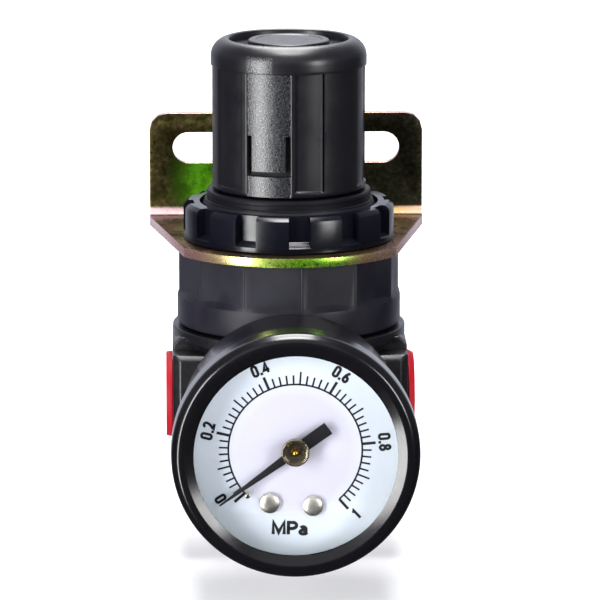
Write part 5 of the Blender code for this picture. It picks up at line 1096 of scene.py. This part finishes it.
def tickTree():
    # lays the scale's divisions round an arc, with longer and thicker ones at their own steps
    tree = bpy.data.node_groups.new("dialDivisions", "GeometryNodeTree")
    face = tree.interface
    face.new_socket("Geometry", in_out="INPUT", socket_type="NodeSocketGeometry")
    face.new_socket("count", in_out="INPUT", socket_type="NodeSocketInt")
    for name in (*dial["ticks"], "startAngle", "stepAngle"):
        face.new_socket(name, in_out="INPUT", socket_type="NodeSocketFloat")
    face.new_socket("ink", in_out="INPUT", socket_type="NodeSocketMaterial")
    face.new_socket("Geometry", in_out="OUTPUT", socket_type="NodeSocketGeometry")
    given = {socket.name: socket for socket in addNode(tree, "NodeGroupInput").outputs}
    given["index"] = addNode(tree, "GeometryNodeInputIndex")
    formulas = [
        ("turn", "MULTIPLY_ADD", "index", "stepAngle", "startAngle"),
        ("place", "MODULO", "index", 10.0),
        ("isMajor", "COMPARE", "place", 0.0, 0.1),
        ("isMid", "COMPARE", "place", 5.0, 0.1),
        ("midMore", "SUBTRACT", "midLength", "minorLength"),
        ("majorMore", "SUBTRACT", "majorLength", "minorLength"),
        ("upToMid", "MULTIPLY_ADD", "isMid", "midMore", "minorLength"),
        ("length", "MULTIPLY_ADD", "isMajor", "majorMore", "upToMid"),
        ("wider", "SUBTRACT", "thickWidth", "thinWidth"),
        ("width", "MULTIPLY_ADD", "isMajor", "wider", "thinWidth"),
        ("reach", "MULTIPLY_ADD", "length", 0.5, "arcRadius"),
        ("sine", "SINE", "turn"),
        ("cosine", "COSINE", "turn"),
        ("x", "MULTIPLY", "sine", "reach"),
        ("y", "MULTIPLY", "cosine", "reach"),
        ("spin", "MULTIPLY", "turn", -1.0),
    ]
    for name, operation, *terms in formulas:
        inputs = {i: given.get(term, term) for i, term in enumerate(terms)}
        given[name] = addNode(tree, "ShaderNodeMath", inputs, operation=operation)
    place = addNode(tree, "ShaderNodeCombineXYZ", {"X": given["x"], "Y": given["y"]})
    sizes = {"X": given["width"], "Y": given["length"], "Z": given["height"]}
    line = addNode(tree, "GeometryNodeMeshLine", {"Count": given["count"], "Offset": (0.0, 0.0, 0.0)})
    copies = {
        "Points": addNode(tree, "GeometryNodeSetPosition", {"Geometry": line, "Position": place}),
        "Instance": addNode(tree, "GeometryNodeMeshCube", {"Size": (1.0, 1.0, 1.0)}),
        "Rotation": addNode(tree, "ShaderNodeCombineXYZ", {"Z": given["spin"]}),
        "Scale": addNode(tree, "ShaderNodeCombineXYZ", sizes),
    }
    ticks = addNode(tree, "GeometryNodeInstanceOnPoints", copies)
    real = addNode(tree, "GeometryNodeRealizeInstances", {"Geometry": ticks})
    inked = addNode(tree, "GeometryNodeSetMaterial", {"Geometry": real, "Material": given["ink"]})
    addNode(tree, "NodeGroupOutput", {"Geometry": inked})
    return tree


def fromTree(name, tree, values):
    # a plain mesh made by a node tree, its inputs set by their identifiers
    piece = addObject(name, bpy.data.meshes.new(name))
    modifier = piece.modifiers.new("shape", "NODES")
    modifier.node_group = tree
    for item in tree.interface.items_tree:
        if item.in_out == "INPUT" and item.name in values:
            modifier[item.identifier] = values[item.name]
    return asMesh(piece)


# The print's characters in a cell one unit high: widths, and strokes as (character, closed, centre line)
advances = {"0": 0.56, "1": 0.4, "2": 0.56, "4": 0.6, "6": 0.56, "8": 0.56, ".": 0.46}
advances |= {"M": 0.98, "P": 0.8, "a": 0.66}
hook = arcOf(0.28, 0.72, 0.20, 165, -20, 8, 0.21)
bowl = arcOf(0.42, 0.70, 0.24, 80, -80, 8, 0.22)
strokes = [
    ("0", True, arcOf(0.28, 0.75, 0.21, 0, 180, 8, 0.18)[:-1] + arcOf(0.28, 0.25, 0.21, 180, 360, 8, 0.18)),
    ("1", False, [(0.06, 0.72), (0.25, 0.86), (0.25, 0.0)]),
    ("2", False, [*hook, (0.42, 0.52), (0.30, 0.34), (0.14, 0.18), (0.08, 0.07), (0.53, 0.07)]),
    ("4", False, [(0.40, 0.0), (0.40, 0.93), (0.06, 0.27), (0.58, 0.27)]),
    ("6", True, arcOf(0.28, 0.29, 0.20, 0, 345, 14, 0.22)),
    ("6", False, [(0.44, 0.93), (0.30, 0.80), (0.14, 0.56), (0.09, 0.38)]),
    ("8", True, arcOf(0.28, 0.72, 0.17, 0, 345, 14, 0.20)),
    ("8", True, arcOf(0.28, 0.28, 0.21, 0, 345, 14)),
    (".", False, [(0.23, -0.03), (0.23, 0.19)]),
    ("M", False, [(0.10, 0.0), (0.10, 0.92), (0.46, 0.14), (0.82, 0.92), (0.82, 0.0)]),
    ("P", False, [(0.12, 0.0), (0.12, 0.92), (0.42, 0.92), *bowl, (0.42, 0.46), (0.12, 0.46)]),
    ("a", True, arcOf(0.29, 0.20, 0.19, 0, 345, 12, 0.15)),
    ("a", False, arcOf(0.30, 0.42, 0.19, 150, 0, 8, 0.18) + [(0.49, 0.12), (0.56, 0.0)]),
]


def ribbon(bm, points, closed, width, height):
    # a flat band along a line, its corners mitred
    count = len(points)
    sides = []
    for i, point in enumerate(points):
        here = Vector(point)
        before = Vector(points[i - 1]) if i or closed else here * 2 - Vector(points[1])
        after = Vector(points[(i + 1) % count]) if i < count - 1 or closed else here * 2 - Vector(points[-2])
        first = (here - before).normalized()
        second = (after - here).normalized()
        across = Vector((-(first.y + second.y), first.x + second.x)).normalized()
        reach = width / 2 / max(0.45, across.dot(Vector((-first.y, first.x))))
        sides.append([bm.verts.new((*(here + across * reach * side), height)) for side in (-1, 1)])
    for i in range(count if closed else count - 1):
        (a, b), (c, d) = sides[i], sides[(i + 1) % count]
        bm.faces.new((a, c, d, b))


def inkText(name, words, size, x, y, turn):
    # flat printing on the dial: each stroke is a band, a hair above the one before it
    height, narrow, stroke = size
    bm = bmesh.new()
    lead = 0.0
    layer = 0
    for letter in words:
        for closed, points in [row[1:] for row in strokes if row[0] == letter]:
            placed = [((lead + px) * height * narrow, (py - 0.5) * height) for px, py in points]
            ribbon(bm, placed, closed, stroke, dial["ticks"]["height"] + layer * 0.002)
            layer += 1
        lead += advances[letter]
    shift = Matrix.Translation((-lead * height * narrow / 2, 0.0, 0.0))
    place = Matrix.Translation((x, y, 0.0)) @ Matrix.Rotation(math.radians(turn), 4, "Z")
    piece = newPiece(name, bm, Matrix.Scale(mm, 4) @ place @ shift)
    piece.data.transform(onGauge @ Matrix.Translation((0.0, 0.0, depthOf("dial")[1] * mm)))
    dress(piece, "housing", "dial_enamel", "ink")


def makeDial():
    back, front = depthOf("dial")
    clock = math.radians(-dial["turn"])
    screws = []
    for x in (-dial["screwSpacing"] / 2, dial["screwSpacing"] / 2):
        y = -dial["screwDrop"]
        screws.append((x * math.cos(clock) - y * math.sin(clock), x * math.sin(clock) + y * math.cos(clock)))
    holes = [arcOf(0, 0, dial["hubHole"], 0, 350, 35)]
    holes += [arcOf(x, y, dial["screwHole"], 0, 340, 17) for x, y in screws]
    outline = arcOf(0, 0, mmBox("dial", 0)[1], 0, 357.5, 143)
    plate = sheetPiece("dialPlate", outline, back, front, holes, 0.06, onGauge)
    dress(plate, "housing", "dial_enamel", "dial", "dial")

    ticks = dial["ticks"]
    start = -dial["sweep"] / 2 + dial["turn"]
    values = {key: value * mm for key, value in ticks.items()}
    values["count"] = dial["divisions"] + 1
    values["startAngle"] = math.radians(start)
    values["stepAngle"] = math.radians(dial["sweep"] / dial["divisions"])
    values["ink"] = finish["ink"]
    divisions = fromTree("dialTicks", tickTree(), values)
    divisions.data.transform(onGauge @ Matrix.Translation((0.0, 0.0, (front + ticks["height"] / 2) * mm)))
    dress(divisions, "housing", "dial_enamel", "ink")

    radius, wide = ticks["arcRadius"], dial["arcWidth"] / 2
    first, last = 90 - start, 90 - start - dial["sweep"]
    band = arcOf(0, 0, radius + wide, first, last, 120) + arcOf(0, 0, radius - wide, last, first, 120)
    onFace = onGauge @ Matrix.Translation((0.0, 0.0, front * mm))
    dress(sheetPiece("dialArc", band, 0.0, ticks["height"], matrix=onFace), "housing", "dial_enamel", "ink")

    for i, words in enumerate(dial["numerals"]):
        angle = start + dial["sweep"] * i / 5 + dial["endShift"].get(words, 0.0)
        x = dial["numeralRadius"] * math.sin(math.radians(angle))
        y = dial["numeralRadius"] * math.cos(math.radians(angle))
        turn = -angle + (180 if abs(angle) > 120 else 0)
        inkText("numeral" + str(i), words, dial["numeralSize"], x, y, turn)
    inkText("unitMark", dial["unit"], dial["unitSize"], *dial["unitPlace"])
    return screws


dialScrews = makeDial()
print("dial made")

# Pointer, its hub, the stop pin and the dial's screws
pointer = {
    "rest": -126.0,
    "blade": [(0.12, 15.5), (-0.12, 15.5), (-0.7, 2.4)],
    "boss": 2.05,
    "tail": (1.13, -6.7),
    "hole": 1.3,
    "hubRadius": 2.3,
    "hubNeck": 1.2,
    "hubMouth": [(0.0, -0.35), (0.15, -0.3)],  # from the bore's edge and the front
    "hubRim": [(-0.5, -0.22), (-0.32, 0.0), (-0.1, 0.0), (0.0, -0.18)],
    "spindle": 0.5,
    "clearance": 0.12,
    "seat": 0.05,
    "soften": 0.05,
    "dome": [(0.0, 0.38), (0.2, 0.36), (0.42, 0.22)],  # the spindle's end beyond the hub
    "stub": 2.0,
    "screwRadius": 1.75,
    "screwShank": 0.8,
    "screwEdge": 0.35,  # the share of a screw head's height that is its upright edge
    "pinRadius": 0.45,
}


def makePointer():
    back, front = depthOf("pointer")
    seat = front + pointer["seat"]
    half, tail = pointer["tail"]
    outline = pointer["blade"] + arcOf(0, 0, pointer["boss"], 112, 238, 10) + [(-half, tail), (half, tail)]
    outline += arcOf(0, 0, pointer["boss"], -58, 68, 10) + [(0.7, 2.4)]
    holes = [arcOf(0, 0, pointer["hole"], 0, 345, 23)]
    turn = onGauge @ Matrix.Rotation(math.radians(-pointer["rest"]), 4, "Z")
    blade = sheetPiece("pointerBlade", outline, back, front, holes, pointer["soften"], turn)
    dress(blade, "pointer", "pointer_black", "pointer", "pointer", sharp=30.0)

    back, front = depthOf("pointer_hub")
    radius, neck, spindle = pointer["hubRadius"], pointer["hubNeck"], pointer["spindle"]
    bore = spindle + pointer["clearance"]
    points = offsetBy(bore, front, pointer["hubMouth"]) + offsetBy(radius, front, pointer["hubRim"])
    points += [(radius, seat), (neck, seat), (neck, back), (bore, back)]
    hub = turned("pointerHub", points, 0.07, 96, True, onGauge)
    dress(hub, "pointer", "nickel", "hub", "pointer_hub")

    foot = front - pointer["stub"]
    points = offsetBy(0.0, front, pointer["dome"]) + [(spindle, front - 0.1), (spindle, foot), (0.0, foot)]
    dress(turned("spindleTip", points, 0.05, 48, matrix=onGauge), "pointer", "brass", "brass")


def makeDialScrews():
    radius, shank, edge = pointer["screwRadius"], pointer["screwShank"], pointer["screwEdge"]
    seat = depthOf("dial")[1] + pointer["seat"]
    for side, (x, y) in zip(("left", "right"), dialScrews):
        node = "dial_screw_" + side
        back, front = depthOf(node)
        dome = front - seat
        rise = seat + dome * edge
        angles = [math.pi / 2 * i / 8 for i in range(9)]
        points = [(radius * math.sin(a), rise + dome * (1 - edge) * math.cos(a)) for a in angles]
        points += [(radius, seat), (shank, seat), (shank, back), (0.0, back)]
        place = onGauge @ Matrix.Translation((x * mm, y * mm, 0.0))
        head = turned(side + "DialScrew", points, 0.06, 72, matrix=place)
        dress(head, "housing", "nickel", "screwHead", node)


def makeStopPin():
    low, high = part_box("stop_pin")
    back, front = depthOf("stop_pin")
    x, y = (low.x + high.x) / 2, (low.z + high.z) / 2 - dialZ
    radius = pointer["pinRadius"]
    points = [(0.0, front), (radius - 0.15, front), (radius, front - 0.15), (radius, back), (0.0, back)]
    pin = turned("stopPin", points, 0.1, 48, matrix=onGauge @ Matrix.Translation((x, y, 0.0)))
    dress(pin, "housing", "nickel", "nickel", "stop_pin")


makePointer()
makeDialScrews()
makeStopPin()
print("pointer and dial furniture made")

# Pieces that keep the frame's shape, as (body, slot, finish) and their nodes
keptPieces = {
    ("housing", "bonnet_resin", "bonnet"): ["bottom_plug"],
    ("housing", "rubber", "rubber"): ["bottom_o_ring", "lens_gasket", "diaphragm"],
    ("housing", "nickel", "nickel"): ["rear_plug", "case_screw_left", "case_screw_right"],
    ("housing", "spring_steel", "springSteel"): ["pressure_spring", "return_spring"],
    ("housing", "bronze", "bronze"): ["bourdon_tube", "hairspring"],
    ("housing", "brass", "brass"): ["gauge_socket", "thrust_washer", "dial_post_left", "dial_post_right"]
    + ["movement_back_plate", "movement_front_plate", "movement_pillar_near", "movement_pillar_far"],
    ("adjusting_screw", "steel", "steel"): ["adjusting_screw"],
    ("spring_nut", "brass", "brass"): ["spring_nut"],
    ("diaphragm_centre", "brass", "brass"): ["diaphragm_plate", "relief_hub"],
    ("valve", "brass", "brass"): ["valve_stem"],
    ("valve", "rubber", "rubber"): ["poppet_seal"],
    ("sector", "brass", "brass"): ["sector_gear"],
    ("sector", "steel", "steel"): ["sector_arbor"],
    ("pointer", "brass", "brass"): ["pinion_arbor"],
    ("tube_tip", "brass", "brass"): ["tube_tip"],
    ("tube_tip", "nickel", "nickel"): ["link"],
}


def smoothCopy(node, body, slotName, look):
    # a frame piece that keeps its shape, welded so that its round faces can be shaded smooth
    piece = rework(addObject(node + "Finished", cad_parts[node].data.copy()), weld)
    piece.data.materials.clear()
    dress(piece, body, slotName, look, node)


for dressing, nodes in keptPieces.items():
    for node in nodes:
        smoothCopy(node, *dressing)
print("kept pieces dressed:", sum(len(nodes) for nodes in keptPieces.values()))

# Floor, light and camera
studio = {
    "floorHalf": 6.0,
    "floorDrop": 1.2,
    "floorColour": "#c4c4c6",
    "cardGlow": 0.9,
    "worldColour": "#dcdfee",
    "roomFade": (-0.1, 0.25),
    "roomGlow": (0.05, 0.3),
    "backFade": (0.6, 0.97),
    "backGlow": 1.0,
    "boxes": {  # azimuth and elevation from the object's front, then distance, width, height and watts
        "keyBox": (-45.5, 0.0, 0.8, 0.22, 0.80, 9.5),
        "rightBox": (42.0, 11.0, 0.8, 0.20, 0.30, 2.8),
        "topBox": (0.0, 78.0, 0.8, 0.26, 0.22, 2.6),
        "fillBox": (-10.0, 42.0, 1.7, 1.8, 1.3, 3.4),
    },
    "backPanel": (0.3, 0.6, 0.26, 0.95, 11.0),  # behind and above the object, then width, height and watts
}


def makeFloor():
    # a plain sheet of pale card under the object
    bm = bmesh.new()
    bmesh.ops.create_grid(bm, x_segments=1, y_segments=1, size=studio["floorHalf"])
    floor = newPiece("floorCard", bm, Matrix.Translation((0.0, 0.0, cadBox[0].z - studio["floorDrop"] * mm)))
    colour = studio["floorColour"]
    glow = {"Emission Color": colour, "Emission Strength": studio["cardGlow"]}
    floor.data.materials.append(surface("paleCard", colour, (0.75, 0.85), (40.0, 2.0), inputs=glow))
    floor.visible_glossy = False  # the photograph's blacks mirror a dark room, not the card
    floor.visible_shadow = False  # the boxes reach below the card, as they would round a table's edge


def makeWorld():
    # a room that is pale above the table and behind it, and dark below
    world = bpy.data.worlds.new("paleRoom")
    world.use_nodes = True
    tree = world.node_tree
    place = addNode(tree, "ShaderNodeTexCoord").outputs["Generated"]
    way = addNode(tree, "ShaderNodeSeparateXYZ", {"Vector": place}).outputs
    glows = []
    for socket, fade, (least, most) in (
        (way["Z"], studio["roomFade"], studio["roomGlow"]),
        (way["Y"], studio["backFade"], (0.0, studio["backGlow"])),
    ):
        inputs = {"Value": socket, "From Min": fade[0], "From Max": fade[1], "To Min": least, "To Max": most}
        glows.append(addNode(tree, "ShaderNodeMapRange", inputs))
    both = addNode(tree, "ShaderNodeMath", {0: glows[0], 1: glows[1]}, operation="ADD")
    fill(tree.nodes["Background"], {"Color": studio["worldColour"], "Strength": both})
    bpy.context.scene.world = world
    # the default transform greys the black of the gauge and the white of the card
    bpy.context.scene.view_settings.view_transform = "Standard"


def areaLight(name, place, target, width, height, watts):
    lamp = bpy.data.lights.new(name, "AREA")
    lamp.shape = "RECTANGLE"
    lamp.size = width
    lamp.size_y = height
    lamp.energy = watts
    holder = addObject(name, lamp)
    holder.location = place
    holder.rotation_euler = (Vector(target) - Vector(place)).to_track_quat("-Z", "Y").to_euler()


def makeLights():
    middle = (0.0, axisY, dialZ / 2)
    for name, (azimuth, elevation, distance, *lamp) in studio["boxes"].items():
        turn, rise = math.radians(azimuth), math.radians(elevation)
        flat = distance * math.cos(rise)
        place = (flat * math.sin(turn), axisY - flat * math.cos(turn), dialZ / 2 + distance * math.sin(rise))
        areaLight(name, place, middle, *lamp)
    behind, above, *lamp = studio["backPanel"]
    areaLight("backPanel", (0.0, behind, above), (0.0, behind, 0.0), *lamp)


# The camera stands where the photograph's did
view = {
    "distance": 950.0,
    "elevation": 11.4,
    "turn": -1.5,
    "lookHeight": 16.3,
    "lookSide": 1.93,
    "focal": 5520.0,
    "frame": 600.0,
    "sensor": 36.0,
}


def makeCamera():
    data = bpy.data.cameras.new("photoCamera")
    data.sensor_width = view["sensor"]
    data.lens = view["focal"] * view["sensor"] / view["frame"]
    data.clip_start = 0.01
    data.clip_end = 20.0
    camera = addObject("photoCamera", data)
    rise, turn = math.radians(view["elevation"]), math.radians(view["turn"])
    target = Vector((view["lookSide"] * mm, axisY, dialZ + view["lookHeight"] * mm))
    back = Vector((math.sin(turn) * math.cos(rise), -math.cos(turn) * math.cos(rise), math.sin(rise)))
    camera.location = target + back * view["distance"] * mm
    camera.rotation_euler = (-back).to_track_quat("-Z", "Y").to_euler()
    bpy.context.scene.camera = camera


makeFloor()
makeWorld()
makeLights()
makeCamera()
print("studio made")
